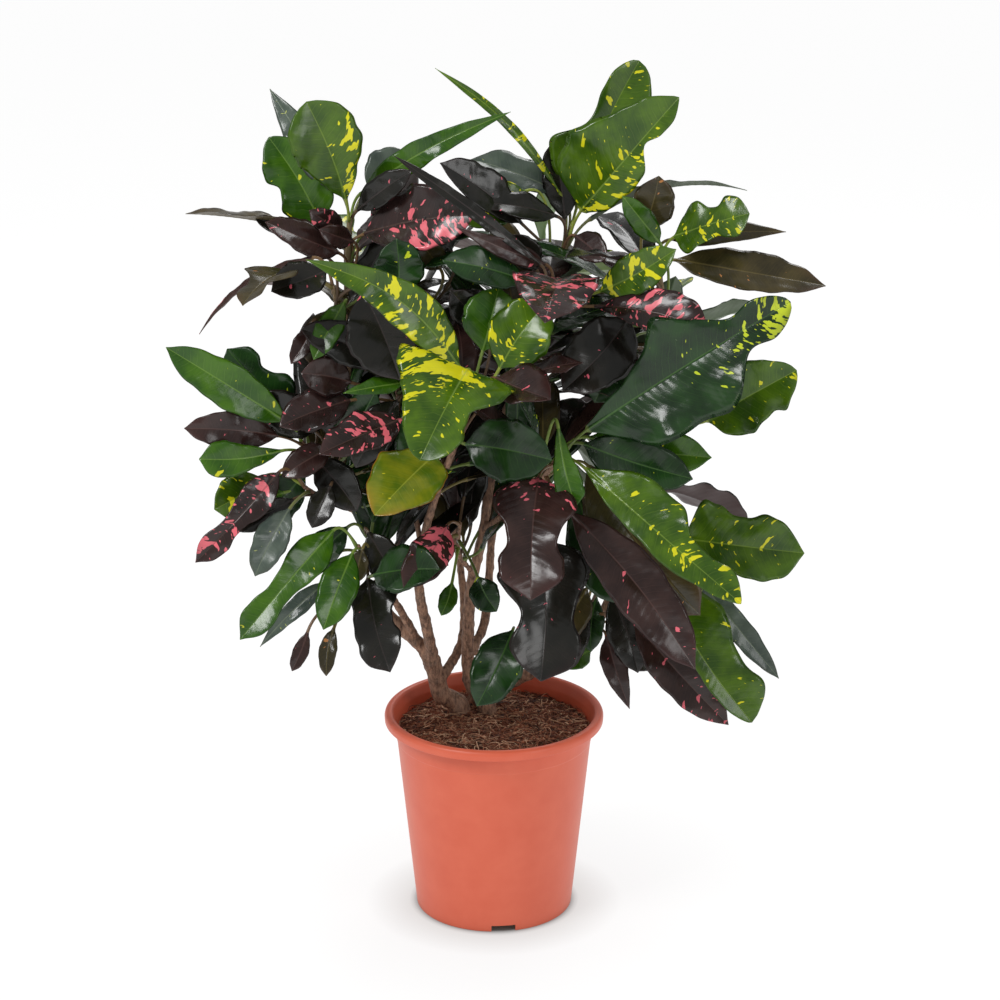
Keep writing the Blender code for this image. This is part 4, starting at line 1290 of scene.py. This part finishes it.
# %% Leaves joined into one mesh
def leaf_mesh(name, grids):
    """One mesh of one or more leaves. Each leaf has a square of the UV map to itself: its upper
    side fills the left half and its underside the right half, margin to margin."""
    tiles = math.ceil(math.sqrt(len(grids)))
    points, quads, fans, blades, places, marks, quad_uvs, fan_uvs = ([] for _ in range(8))
    first = 0
    for index, (rings, blade, place, across, richness) in enumerate(grids):
        count, sides = rings.shape[:2]
        quad, fan = loft_faces(count, sides, first)
        first += count * sides
        points.append(rings.reshape(-1, 3))
        blades.append(blade.reshape(-1, 3))
        places.append(place.reshape(-1, 3))
        marks.append(richness.ravel())
        quads.append(quad)
        fans.append(fan)
        columns = len(across)
        steps = np.linalg.norm(np.diff(rings[:, columns // 2], axis=0), axis=1)
        rise = np.insert(np.cumsum(steps), 0, 0)
        rise = 0.012 + 0.976 * rise / rise[-1]
        over = 0.01 + 0.48 * (across + 1) / 2
        left = np.concatenate((over[:-1], 0.5 + over[:-1]))
        right = np.concatenate((over[1:], 0.5 + over[1:]))
        x = np.broadcast_to(np.stack((left, right, right, left), axis=1), (count - 1, sides, 4))
        y = np.stack((rise[:-1], rise[:-1], rise[1:], rise[1:]), axis=1)
        y = np.broadcast_to(y[:, None], (count - 1, sides, 4))
        corner = np.array([index % tiles, index // tiles])
        quad_uvs.append((np.stack((x, y), axis=-1).reshape(-1, 2) + corner) / tiles)
        spin = np.arange(sides) * math.tau / sides
        ring_uv = np.stack((np.cos(spin), np.sin(spin)), axis=1) * 0.004
        foot_fan, tip_fan = fan[: sides - 2], fan[sides - 2 :]
        local = np.concatenate((foot_fan - foot_fan[0, 0], tip_fan - tip_fan[0, 0]))
        centre = np.repeat([(0.5, 0.005), (0.5, 0.995)], sides - 2, axis=0)[:, None]
        fan_uvs.append(((ring_uv[local] + centre).reshape(-1, 2) + corner) / tiles)
    mesh = mesh_of(name, np.concatenate(points), np.concatenate(quads), np.concatenate(fans))
    for key, values in (("blade", blades), ("place", places)):
        held = mesh.attributes.new(key, "FLOAT_VECTOR", "POINT")
        held.data.foreach_set("vector", np.concatenate(values).astype(np.float32).ravel())
    held = mesh.attributes.new("marks", "FLOAT", "POINT")
    held.data.foreach_set("value", np.concatenate(marks).astype(np.float32))
    uv = mesh.uv_layers.new(name="OFBake")
    uv.uv.foreach_set("vector", np.concatenate(quad_uvs + fan_uvs).astype(np.float32).ravel())
    return mesh


print("faces of one leaf:", len(leaf_mesh("trial_leaf", [one_leaf]).polygons))
bpy.data.meshes.remove(bpy.data.meshes["trial_leaf"])


# %% [markdown]
# ## The leaves of each shoot
#
# Every leaf is one row: where its blade starts and ends in centimetres, its full width, the way
# its upper face looks, its bow as a share of its length, its outline and its skin. The first
# rows of each shoot are the CAD model's leaves, in order, and each stands for the CAD node of
# its name. The rows after them are the smaller leaves that fill the crown, which the CAD model
# leaves out. A few leaves have settings of their own for twist, sway, ripple, tip, swell, pucker
# and splashes.

# %% Leaves that stand for the CAD model's
FRONT = (0, -1, 0.35)
FRONT_UP = (0, -0.7, 0.7)
UP = (0, 0, 1)
EDGE_ON = (0, 0.33, 0.95)
BACK_UP = (0, 0.6, 0.8)
LEFT_UP = (-0.5, 0.5, 0.8)
LEAVES = {
    "upper_left": (
        ((-13.9, -1, 73), (-17.3, -3, 82.7), 7, FRONT, 0.03, "obovate", "splashed_yellow"),
        ((-16.5, 2, 70), (-21.3, 3, 78), 5.4, FRONT, 0.04, "wavy_oval", "bright_green"),
        ((-12.6, 1, 73), (1.6, -1, 81.3), 2.6, FRONT, 0.1, "lance", "bright_green"),
        ((-12.2, -1.5, 69.7), (-1.7, -5.8, 72.6), 6.6, FRONT_UP, 0.03, "oval", "pink_splashed"),
        ((-16.5, 1, 69), (-29.3, 2, 70.8), 5, EDGE_ON, 0.03, "oval", "olive"),
    ),
    "top": (
        ((8, 4.5, 71), (13.8, 6, 84.8), 9.2, FRONT, 0.03, "two_lobed", "splashed_yellow"),
        ((8.4, 1, 71.5), (17.2, -2, 82.9), 11.2, FRONT, 0.04, "half_turned", "splashed_yellow"),
        ((9.2, 2, 70.3), (23.8, -1, 73.8), 3.4, EDGE_ON, 0.11, "lance", "slate"),
        ((6.3, 3.4, 72.5), (-5.5, 3, 84.6), 1, FRONT, 0.06, "strap", "splashed_yellow"),
        ((2.6, 0, 70.4), (-5, -2.6, 76.8), 4.4, FRONT_UP, 0.03, "oval", "near_black"),
    ),
    "upper_right": (
        ((17, -2.2, 69.6), (23.7, -6, 72.8), 5.4, FRONT_UP, 0.03, "fiddle", "splashed_yellow"),
        ((17, -3, 67.6), (31.1, -5, 65.6), 4.6, FRONT_UP, 0.05, "oval", "olive"),
        ((12.7, -6, 62.8), (6.4, -11.5, 57.3), 6.2, FRONT, 0.06, "oval", "near_black"),
        ((20.6, -1, 51.2), (28.8, -3, 56.8), 6.6, FRONT, 0.04, "wavy_oval", "splashed_yellow"),
        ((18.4, -3, 39.8), (29.9, -5, 39), 8, FRONT, 0.04, "wavy", "splashed_yellow"),
        ((16.2, -6, 36.4), (24.8, -11, 23.9), 8.8, FRONT, 0.06, "half_folded", "splashed_yellow"),
    ),
    "middle": (
        ((4.4, -6.3, 68), (-9.2, -6, 78.3), 1.4, FRONT, 0.05, "strap", "near_black"),
        ((6, -7, 66.8), (4.6, -19, 66), 8.2, UP, 0.08, "oval", "pink_splashed"),
        ((10, -5.6, 65.3), (16.8, -9, 70.2), 4, FRONT, 0.03, "oval", "splashed_yellow"),
        ((9.4, -7, 64.2), (19.7, -12.5, 63.5), 4.8, FRONT_UP, 0.05, "obovate", "pink_splashed"),
    ),
    "high_left": (
        ((-19, -6.5, 67.5), (-22.8, -14, 66.2), 5.6, UP, 0.06, "lobed", "olive"),
        ((-17, -4.5, 68.2), (-27.6, -6, 61.2), 1.8, LEFT_UP, 0.1, "lance", "pink_splashed"),
        ((-12.2, -5.6, 65.2), (-8.7, -9, 57.6), 7, FRONT, 0.05, "oval", "near_black"),
    ),
    "front": (
        ((-3.2, -11, 59.6), (-17, -13.5, 70.4), 4.4, FRONT, 0.05, "lance", "splashed_yellow"),
        ((-2.4, -12.4, 59.6), (-6.6, -21, 53.7), 12.6, FRONT_UP, 0.1, "splayed", "splashed_yellow"),
        ((0.6, -11.3, 59.5), (4.9, -9.5, 65.2), 6, FRONT, 0.04, "oval", "splashed_yellow"),
        ((-2.6, -11.6, 52.2), (5.4, -14.5, 51.6), 6, FRONT, 0.05, "oval", "dark_green"),
        ((-5.4, -12.4, 51.4), (-10.8, -20, 48.1), 6.8, FRONT_UP, 0.06, "oval", "golden"),
    ),
    "centre_left": (
        ((-9, -5.8, 65.1), (-9, -6.6, 70.6), 4.8, FRONT, 0.05, "oval", "dark_green"),
        ((-8.6, -11, 54.4), (-16, -16, 52.6), 4.6, FRONT_UP, 0.06, "oval", "pink_splashed"),
    ),
    "left": (
        ((-19.6, -6, 52.6), (-30.6, -7.6, 60.4), 4.3, FRONT, 0.04, "oval", "bright_green"),
        ((-20.4, -6, 51.2), (-29, -9, 52.9), 3.6, FRONT, 0.05, "oval", "wine"),
    ),
    "lower_left": (
        ((-20.2, -8.4, 48.4), (-28, -12.5, 40.8), 3.4, FRONT, 0.05, "fiddle", "pink_splashed"),
    ),
    "low_left": (
        ((-15.2, -8.6, 42.6), (-23.8, -15, 34), 4, FRONT, 0.06, "fiddle", "bright_green"),
        ((-12, -8, 37.4), (-9.8, -13, 29.9), 5.4, FRONT, 0.06, "wavy", "near_black"),
    ),
    "low_front": (
        ((-4.4, -8, 42.9), (-8.5, -13, 38.4), 4, FRONT, 0.08, "oval", "wine"),
    ),
    "front_right": (
        ((8.8, -12, 53.8), (27, -14, 66.6), 13.6, FRONT, 0.03, "oak_like", "dark_green"),
        ((8.6, -13, 50.2), (22.6, -22, 40.2), 6.8, FRONT, 0.06, "notched", "splashed_yellow"),
        ((7.2, -12, 45.6), (18.8, -18, 32.2), 5.4, FRONT, 0.06, "oval", "wine"),
        ((4.2, -12.6, 49.2), (3.4, -22, 40.6), 8, FRONT_UP, 0.08, "fiddle", "wine"),
        ((4.1, -10.4, 42.6), (4.4, -18, 31), 8.8, FRONT, 0.06, "fiddle", "near_black"),
    ),
    "low_right": (
        ((13.6, -4.6, 31.8), (22.7, -9, 22.8), 4.4, FRONT, 0.06, "oval", "wine"),
    ),
    "back_left": (
        ((-13.4, 14.6, 62.5), (-17.5, 22.2, 66), 6, BACK_UP, 0.05, "fiddle", "splashed_yellow"),
        ((-10.8, 14, 63.4), (-8.2, 16.5, 73.5), 5.6, BACK_UP, 0.04, "oval", "near_black"),
        ((-14.6, 13, 60), (-24.5, 17, 60), 5, BACK_UP, 0.05, "oval", "wine"),
    ),
    "back_low_left": (
        ((-18.8, 12.6, 47.4), (-26.5, 16.5, 44), 5.6, BACK_UP, 0.06, "lobed", "bright_green"),
        ((-16, 13.4, 47.6), (-14.5, 22, 42.5), 5.2, BACK_UP, 0.06, "oval", "near_black"),
    ),
    "back": (
        ((4.8, 15.6, 64), (8, 20.5, 72), 6.2, BACK_UP, 0.05, "oval", "bright_green"),
        ((2.2, 15.4, 62), (-4, 21.7, 62.5), 5.8, BACK_UP, 0.06, "fiddle", "wine"),
    ),
    "back_low": (
        ((3.2, 18.4, 46.8), (6, 21.8, 37), 6, BACK_UP, 0.08, "lobed", "dark_green"),
        ((0.4, 18.4, 47.6), (-6.5, 21.3, 43.5), 5.2, BACK_UP, 0.06, "oval", "pink_splashed"),
    ),
    "back_right": (
        ((18, 12.6, 55.6), (27.5, 14.5, 58.5), 6, BACK_UP, 0.05, "oval", "dark_green"),
        ((16.6, 14, 55.6), (19.5, 22, 59), 5.6, BACK_UP, 0.06, "fiddle", "splashed_yellow"),
    ),
    "back_low_right": (
        ((17, 12, 39.8), (26, 14.5, 35), 5.6, BACK_UP, 0.06, "oval", "near_black"),
    ),
}
print("leaves with a CAD node:", sum(len(rows) for rows in LEAVES.values()))

# %% Smaller leaves between them
MORE_LEAVES = {
    "upper_left": (
        ((-14.6, 2, 73), (-21.3, 6, 82), 3.5, FRONT, 0.05, "lance", "slate"),
        ((-14.6, -2, 68), (-21.3, -4, 71.5), 4, FRONT_UP, 0.05, "oval", "wine"),
        ((-12, 3, 73), (-8.5, 6, 76), 4, FRONT, 0.05, "oval", "slate"),
        ((-16, -1, 67.5), (-22.8, 1, 70.8), 2, FRONT_UP, 0.04, "oval", "near_black"),
        ((-13.3, -1.5, 69), (-16.3, -4, 70.8), 2.3, FRONT, 0.05, "oval", "wine"),
        ((-12.8, -0.5, 71.8), (-7.6, -3, 76.2), 2.8, FRONT, 0.05, "oval", "near_black"),
        ((-14.2, -1, 70), (-17.2, -3.5, 72.5), 2.5, FRONT, 0.05, "oval", "pink_splashed"),
    ),
    "top": (
        ((6, 1, 70.8), (-1.4, -2, 72.8), 3.2, FRONT_UP, 0.05, "oval", "near_black"),
        ((6, 4, 72.5), (-2.2, 4, 75.6), 4, FRONT_UP, 0.05, "oval", "slate"),
        ((7.8, 0.5, 69), (10.5, -3, 67.5), 3, FRONT, 0.05, "oval", "wine"),
        ((6.8, 3, 70), (5.5, 5, 77), 3.5, FRONT, 0.04, "oval", "near_black"),
        ((3, 2, 73), (-3, -1, 70.6), 4.5, FRONT, 0.05, "oval", "splashed_yellow"),
    ),
    "upper_right": (
        ((16.6, -1.6, 69.2), (27.4, -3, 70.3), 2.8, FRONT_UP, 0.06, "lance", "olive"),
        ((14.2, -0.5, 70), (15.5, -1, 75.2), 4.2, FRONT, 0.04, "oval", "olive"),
        ((15.6, -2, 69), (12, -4, 74), 2.5, FRONT, 0.04, "oval", "bright_green"),
        ((13, -4, 60), (9.5, -7, 54.8), 6.5, FRONT, 0.05, "oval", "dark_green"),
        ((19, -2, 36.5), (27.8, -5, 26), 2.5, FRONT, 0.06, "oval", "slate"),
    ),
    "middle": (
        ((3, -6, 66.3), (-4.7, -9, 69.1), 4, FRONT_UP, 0.05, "oval", "dark_green"),
        ((4.8, -5, 67.7), (-3.4, -8, 72), 2, FRONT, 0.05, "lance", "wine"),
        ((4, -4, 67), (1.5, -5, 70.5), 3, FRONT, 0.04, "oval", "near_black"),
    ),
    "high_left": (
        ((-15.6, -6.5, 67.4), (-20.5, -9.5, 66.3), 4.2, FRONT_UP, 0.05, "oval", "near_black"),
        ((-15.5, -4, 63), (-17, -6, 58), 3, FRONT, 0.05, "oval", "olive"),
        ((-14, -5, 64), (-16.8, -8, 59.3), 2.6, FRONT, 0.05, "oval", "bright_green"),
        ((-17, -5, 62), (-19, -7, 58.6), 2, FRONT, 0.04, "oval", "wine"),
    ),
    "front": (
        ((0.3, -12.4, 58.8), (5.2, -17, 58.2), 5.4, FRONT_UP, 0.05, "oval", "wine"),
        ((-1, -9, 60.5), (0.5, -7, 66), 5.5, FRONT, 0.04, "oval", "bright_green"),
        ((-1, -6, 62), (-4, -8, 66), 3.5, FRONT, 0.04, "oval", "near_black"),
    ),
    "centre_left": (
        ((-5.5, -7, 63), (-6.8, -8, 65.5), 2, FRONT, 0.04, "oval", "golden"),
        ((-5, -4, 67), (-7, -5, 70), 2.8, FRONT, 0.04, "oval", "olive"),
        ((-4, -3, 68.5), (-6.5, -4, 72), 3, FRONT, 0.04, "oval", "near_black"),
        ((-8.5, -8, 57), (-14, -9.5, 56.5), 2, FRONT_UP, 0.05, "lance", "bright_green"),
        ((-13.5, -6, 56.5), (-18, -8, 58), 4, FRONT, 0.05, "oval", "wine"),
        ((-13.5, -7, 55), (-20, -10, 53.4), 4.5, FRONT_UP, 0.05, "oval", "pink_splashed"),
        ((-9, -7, 55), (-13, -9, 49), 4, FRONT, 0.05, "oval", "near_black"),
        ((-6, -6, 56), (-8, -9, 48), 4.5, FRONT, 0.05, "oval", "dark_green"),
        ((-10, -6, 58), (-18, -7, 62), 4, FRONT, 0.05, "oval", "near_black"),
    ),
    "left": (
        ((-19, -4, 53), (-25.2, -4, 59.2), 5.2, FRONT, 0.04, "fiddle", "dark_green"),
        ((-20.2, -7, 50), (-27.6, -10, 50.2), 3.6, FRONT, 0.05, "spoon", "bright_green"),
        ((-15.5, -6, 50), (-20, -8, 47.8), 3, FRONT, 0.05, "oval", "wine"),
        ((-14, -5, 49), (-11, -7, 56), 4.5, FRONT, 0.05, "oval", "dark_green"),
        ((-15, -5, 50), (-15, -6, 57), 3.5, FRONT, 0.05, "oval", "near_black"),
        ((-17, -4, 51), (-22.5, -6, 55), 4.4, FRONT, 0.05, "oval", "near_black"),
    ),
    "lower_left": (
        ((-19.3, -9.4, 45), (-22.4, -13, 39.6), 3.4, FRONT, 0.05, "oval", "slate"),
        ((-22, -6, 47), (-26.5, -8, 44.5), 4.5, FRONT, 0.05, "oval", "splashed_yellow"),
        ((-19, -8, 45.5), (-25, -10, 43.5), 2.8, FRONT, 0.05, "oval", "near_black"),
        ((-20, -6, 45.5), (-25, -6, 44.5), 3, FRONT, 0.05, "oval", "bright_green"),
        ((-15.5, -7, 46.5), (-17.2, -9, 43), 2.7, FRONT, 0.05, "oval", "near_black"),
        ((-18, -5, 47), (-22.5, -7, 42), 4, FRONT, 0.05, "oval", "dark_green"),
        ((-17, -5, 48.5), (-13, -7, 44), 4, FRONT, 0.05, "oval", "near_black"),
    ),
    "low_left": (
        ((-13.4, -9.6, 40.6), (-16, -14.5, 34.8), 3.8, FRONT, 0.06, "oval", "bright_green"),
        ((-16, -6, 36.5), (-22.5, -8, 30.5), 2, FRONT, 0.05, "lance", "slate"),
        ((-15.3, -9, 32.8), (-16, -11, 28.7), 1.8, FRONT, 0.05, "oval", "olive"),
        ((-12.5, -8, 40.5), (-13, -9, 37.5), 2, FRONT, 0.05, "oval", "olive"),
        ((-14, -6, 42), (-19.5, -7.5, 38), 3.6, FRONT, 0.05, "oval", "dark_green"),
        ((-12, -6, 41.5), (-8.5, -8, 36.5), 3.6, FRONT, 0.05, "oval", "near_black"),
        ((-14.5, -7, 40), (-17.3, -8, 39.8), 1.8, FRONT, 0.05, "oval", "slate"),
        ((-17.9, -8, 32), (-19.4, -9, 28.4), 1.6, FRONT, 0.05, "oval", "wine"),
    ),
    "low_front": (
        ((-11.4, -9, 38.2), (-5, -13, 40.3), 5.2, FRONT_UP, 0.06, "oval", "dark_green"),
        ((-6.4, -8, 39.9), (-4.3, -10, 39.6), 2.2, FRONT, 0.05, "oval", "olive"),
        ((-4, -8, 37), (-5, -10, 34.5), 1.8, FRONT, 0.05, "oval", "bright_green"),
        ((-1.5, -9, 38), (0.3, -11, 35.3), 3, FRONT, 0.05, "oval", "dark_green"),
    ),
    "low_centre": (
        ((1.8, -7.6, 32), (-1.6, -12, 26), 5, FRONT, 0.06, "oval", "dark_green"),
    ),
    "front_right": (
        ((8.4, -11, 52), (18.5, -13.5, 49.4), 5, FRONT, 0.05, "oval", "dark_green"),
        ((9, -9, 52), (20.3, -12, 51), 5, FRONT, 0.05, "oval", "bright_green"),
        ((6, -12.5, 54), (7.6, -15, 47.2), 2.8, FRONT, 0.05, "spoon", "bright_green"),
        ((9, -9, 49), (19.5, -12.5, 35.5), 8, FRONT, 0.05, "strap", "olive"),
        ((8, -8, 46), (12, -11, 36), 5, FRONT, 0.05, "oval", "dark_green"),
    ),
    "low_right": (
        ((11, -2.6, 29.6), (13.3, -4.5, 22.6), 2.6, FRONT, 0.06, "lance", "wine"),
        ((12.8, 1, 29), (15.3, 0, 24.8), 3.5, FRONT, 0.05, "oval", "near_black"),
        ((9.5, 0, 27), (6.8, -2, 26), 2.4, FRONT, 0.05, "oval", "bright_green"),
        ((8.8, -2, 32.5), (7.5, -4, 27), 3, FRONT, 0.05, "oval", "near_black"),
        ((10, -1, 33), (9.5, -3, 28), 2.6, FRONT, 0.05, "oval", "dark_green"),
        ((11.5, -3, 34), (14, -6, 27), 4, FRONT, 0.05, "oval", "near_black"),
        ((9, -4, 35), (6, -7, 30.5), 3.6, FRONT, 0.05, "oval", "olive"),
    ),
    "back": (
        ((6, 15, 61), (14.5, 20, 60.5), 5.4, BACK_UP, 0.05, "oval", "splashed_yellow"),
    ),
    "back_low_right": (
        ((15, 13, 39.6), (13, 21, 33.5), 5.2, BACK_UP, 0.06, "oval", "bright_green"),
    ),
}
print("smaller leaves:", sum(len(rows) for rows in MORE_LEAVES.values()))

# %% [markdown]
# Inside the crown there are more leaves than anyone would place by hand. They are grown by
# rule: down each shoot at the golden angle, each leaning out from the shoot, and a leaf is kept
# only if it stays inside the crown and clear of the leaves that are already there.

# %% Inner leaves by the golden angle
CROWN_CENTRE = np.array([0, 0.5, 58.5]) * CM
CROWN_REACH = np.array([20, 19.5, 16]) * CM
INNER_SKINS = ("near_black", "dark_green", "wine", "dark_green", "olive", "near_black")
GOLDEN_ANGLE = 2.39996
ATTEMPTS = 140
FRONT_LIMIT = -13 * CM


def blade_samples(start, end):
    """Points spread over a blade's straight line, for judging how near two leaves are."""
    share = np.linspace(0.05, 1, 9)[:, None]
    return start + (end - start) * share


def inner_rows(shoot, wanted, taken, seed):
    """Rows for leaves at the golden angle: lean 50 to 85 degrees off the shoot, stalk 2 to 4 cm,
    blade 8 to 13 cm, upper face towards the shoot's tip."""
    dice = np.random.default_rng(seed)
    line = catmull_rom(shoot_line(shoot)[0], 60)
    along = arc_length(line)
    tangents = unit(np.gradient(line, axis=0))
    rows = []
    for attempt in range(ATTEMPTS):
        if len(rows) == wanted:
            break
        back = dice.uniform(0.5, 15) * CM
        spot = np.searchsorted(along, max(along[-1] - back, along[-1] * 0.25))
        axis = tangents[spot]
        level = unit(np.cross(axis, (0.2, 0.1, 1.0)))
        aside = np.cross(axis, level)
        turn = attempt * GOLDEN_ANGLE
        outward = level * math.cos(turn) + aside * math.sin(turn)
        lean = math.radians(dice.uniform(50, 85))
        way = axis * math.cos(lean) + outward * math.sin(lean)
        start = line[spot] + way * dice.uniform(2, 4) * CM
        way = unit(way + np.array([0, 0, dice.uniform(-0.5, 0.25)]))
        end = start + way * dice.uniform(8, 13) * CM
        beyond = (np.abs((end - CROWN_CENTRE) / CROWN_REACH) ** 2).sum() > 1
        if beyond or end[1] < FRONT_LIMIT:
            continue
        width = dice.uniform(3, 5)
        samples = blade_samples(start, end)
        gaps = np.linalg.norm(samples[:, None] - np.concatenate(taken)[None], axis=2)
        if gaps.min() < width * CM * 0.3:
            continue
        taken.append(samples)
        face = axis * 0.6 + np.array([0, 0, 1.0])
        skin = INNER_SKINS[int(dice.integers(len(INNER_SKINS)))]
        bow = dice.uniform(0.03, 0.1)
        rows.append((start / CM, end / CM, width, face, bow, "oval", skin))
    return rows


print("the crown reaches, cm:", (CROWN_CENTRE / CM).round(1), "+-", (CROWN_REACH / CM).round(1))


# %% Shapes of single leaves
# marks: how richly the stalk, the middle and the tip are splashed, and which half more
SHAPES = {
    "leaf_upper_left_1": {"marks": (0.4, 0.15, 0.05, 0.5), "tip": 0.45},
    "leaf_upper_left_2": {"marks": (0.1, 0.05, 0, 0), "tip": 0.4},
    "leaf_upper_left_3": {"marks": (0, 0, 0, 0), "ripple": 3, "ripples": 3.4},
    "leaf_upper_left_4": {"marks": (0.05, 0.34, 0.3, 0.6), "twist": -35},
    "leaf_top_1": {"marks": (0.1, 0.12, 0.2, 0), "tip": 0.5, "ripple": 4},
    "leaf_top_2": {"marks": (0.28, 0.22, 0.05, 0.5), "tip": 0.3, "ripple": 3},
    "leaf_top_4": {"marks": (0.25, 0.25, 0.05, 0), "sway": 0.06},
    "leaf_upper_right_1": {"marks": (0.1, 0.24, 0.28, 0), "tip": 0.4},
    "leaf_upper_right_4": {"marks": (0, 0.05, 0.24, 0), "tip": 0.4},
    "leaf_upper_right_5": {"marks": (0.14, 0.18, 0.02, 0), "ripple": 3},
    "leaf_upper_right_6": {"marks": (0.02, 0.12, 0.05, 0), "tip": 0.4, "ripple": 3},
    "leaf_front_1": {"marks": (0.34, 0.34, 0.05, 0), "sway": 0.1},
    "leaf_front_2": {"marks": (0.46, 0.16, 0.12, 0.6), "tip": 0.5, "ripple": 4, "swell": 0.4},
    "leaf_front_3": {"marks": (0.3, 0.2, 0.05, 0)},
    "leaf_front_5": {"marks": (0, 0, 0, 0), "tip": 0.3},
    "leaf_front_right_1": {
        "marks": (-0.1, 0.02, 0.52, 0.2),
        "tip": 0.5,
        "ripple": 6,
        "ripples": 2.6,
        "swell": 0.55,
        "pucker": 5,
        "twist": -6,
    },
    "leaf_front_right_2": {"marks": (0, 0.16, 0.34, -0.2), "tip": 0.3, "swell": 0.4},
    "leaf_front_right_3": {"marks": (0, 0, 0.12, 0)},
    "leaf_front_right_4": {"marks": (0.42, 0, 0, 0), "swell": 0.4},
    "leaf_front_right_5": {"marks": (0, 0.05, 0, 0)},
    "leaf_low_right_1": {"marks": (0, 0.1, 0.3, 0)},
    "leaf_middle_2": {"marks": (0.25, 0.3, 0.25, 0)},
    "leaf_middle_3": {"marks": (0.2, 0.32, 0.2, 0)},
    "leaf_middle_4": {"marks": (0.2, 0.36, 0.36, 0)},
    "leaf_centre_left_2": {"marks": (0.36, 0.38, 0.15, 0)},
    "leaf_lower_left_1": {"marks": (0.42, 0.2, 0.42, 0.2), "twist": 25},
    "leaf_low_front_1": {"marks": (0.7, 0.3, -0.1, 0)},
    "leaf_high_left_2": {"marks": (0.3, 0.3, 0.3, 0)},
}
print("leaves with a shape of their own:", len(SHAPES))


# %% Growing one leaf
BOX_MARGIN = 0.2 * MM


def kept_inside(rings):
    """Rings whose outer half is moved back by as much as the leaf's tip or margin would pass
    the plant's box, so that no leaf makes the plant larger than the CAD model."""
    low, high = (np.array(corner) for corner in cad_box)
    past = np.maximum(rings.max((0, 1)) + BOX_MARGIN - high, 0)
    past = past + np.minimum(rings.min((0, 1)) - BOX_MARGIN - low, 0)
    bend = smoothstep(0, 0.5, np.linspace(0, 1, len(rings)))
    return rings - bend[:, None, None] * past


def grow(shoot, rank, row, seed, step, columns, **shape):
    """The grid of one leaf from its row, splashed as its skin is unless its shape says how."""
    start, end, width, face, bow, outline, skin = row
    usual = SKINS[skin][-1] * np.random.default_rng(seed).uniform(0.4, 1.3)
    shape.setdefault("marks", (usual, usual, usual, 0))
    start, end = np.asarray(start) * CM, np.asarray(end) * CM
    foot = stalk_foot(shoot, rank, start)
    face = np.asarray(face, dtype=float)
    rings, *attributes = leaf_grid(
        foot, start, end, width, face, bow, outline, seed, step, columns, **shape
    )
    return kept_inside(rings), *attributes


print("margin kept to the plant's box, mm:", round(BOX_MARGIN / MM, 1))

# %% The leaves that have a row
CAD_STEP, CAD_COLUMNS = 1.9 * MM, 23
SMALL_STEP, SMALL_COLUMNS = 2.6 * MM, 15
taken = []
triangles = 0
seed = 100
for shoot, rows in LEAVES.items():
    for rank, row in enumerate(rows):
        seed += 1
        name = f"leaf_{shoot}_{rank + 1}"
        grid = grow(shoot, rank, row, seed, CAD_STEP, CAD_COLUMNS, **SHAPES.get(name, {}))
        mesh = leaf_mesh(f"croton_{name}", [grid])
        add_piece(f"croton_{name}", mesh, leaf_finishes[row[6]], f"leaf_{row[6]}", name)
        triangles += 2 * len(mesh.polygons)
        taken.append(blade_samples(np.asarray(row[0]) * CM, np.asarray(row[1]) * CM))
print("CAD leaves' triangles:", triangles)

for shoot, rows in MORE_LEAVES.items():
    first = len(LEAVES.get(shoot, ()))
    for index, row in enumerate(rows):
        seed += 1
        name = f"small_leaf_{shoot}_{index + 1}"
        mesh = leaf_mesh(name, [grow(shoot, first + index, row, seed, SMALL_STEP, SMALL_COLUMNS)])
        add_piece(name, mesh, leaf_finishes[row[6]], f"leaf_{row[6]}")
        triangles += 2 * len(mesh.polygons)
        taken.append(blade_samples(np.asarray(row[0]) * CM, np.asarray(row[1]) * CM))
print("and with the smaller leaves:", triangles)

# %% The inner leaves, in one mesh for each shoot and skin
INNER_STEP, INNER_COLUMNS = 4 * MM, 11
INNER_LEAVES = 7
INNER_LEAVES_BEHIND = 16
inner_count = 0
for shoot in SHOOTS:
    if shoot.startswith("trunk"):
        continue
    wanted = INNER_LEAVES_BEHIND if shoot.startswith("back") else INNER_LEAVES
    seed += 1
    groups = {}
    for index, row in enumerate(inner_rows(shoot, wanted, taken, seed)):
        grid = grow(shoot, 2 + index, row, seed * 20 + index, INNER_STEP, INNER_COLUMNS)
        inner_count += 1
        groups.setdefault(row[6], []).append(grid)
    for skin, grids in groups.items():
        mesh = leaf_mesh(f"inner_leaves_{shoot}_{skin}", grids)
        add_piece(mesh.name, mesh, leaf_finishes[skin], f"leaf_{skin}")
        triangles += 2 * len(mesh.polygons)
print("inner leaves:", inner_count, "all leaves' triangles:", triangles)
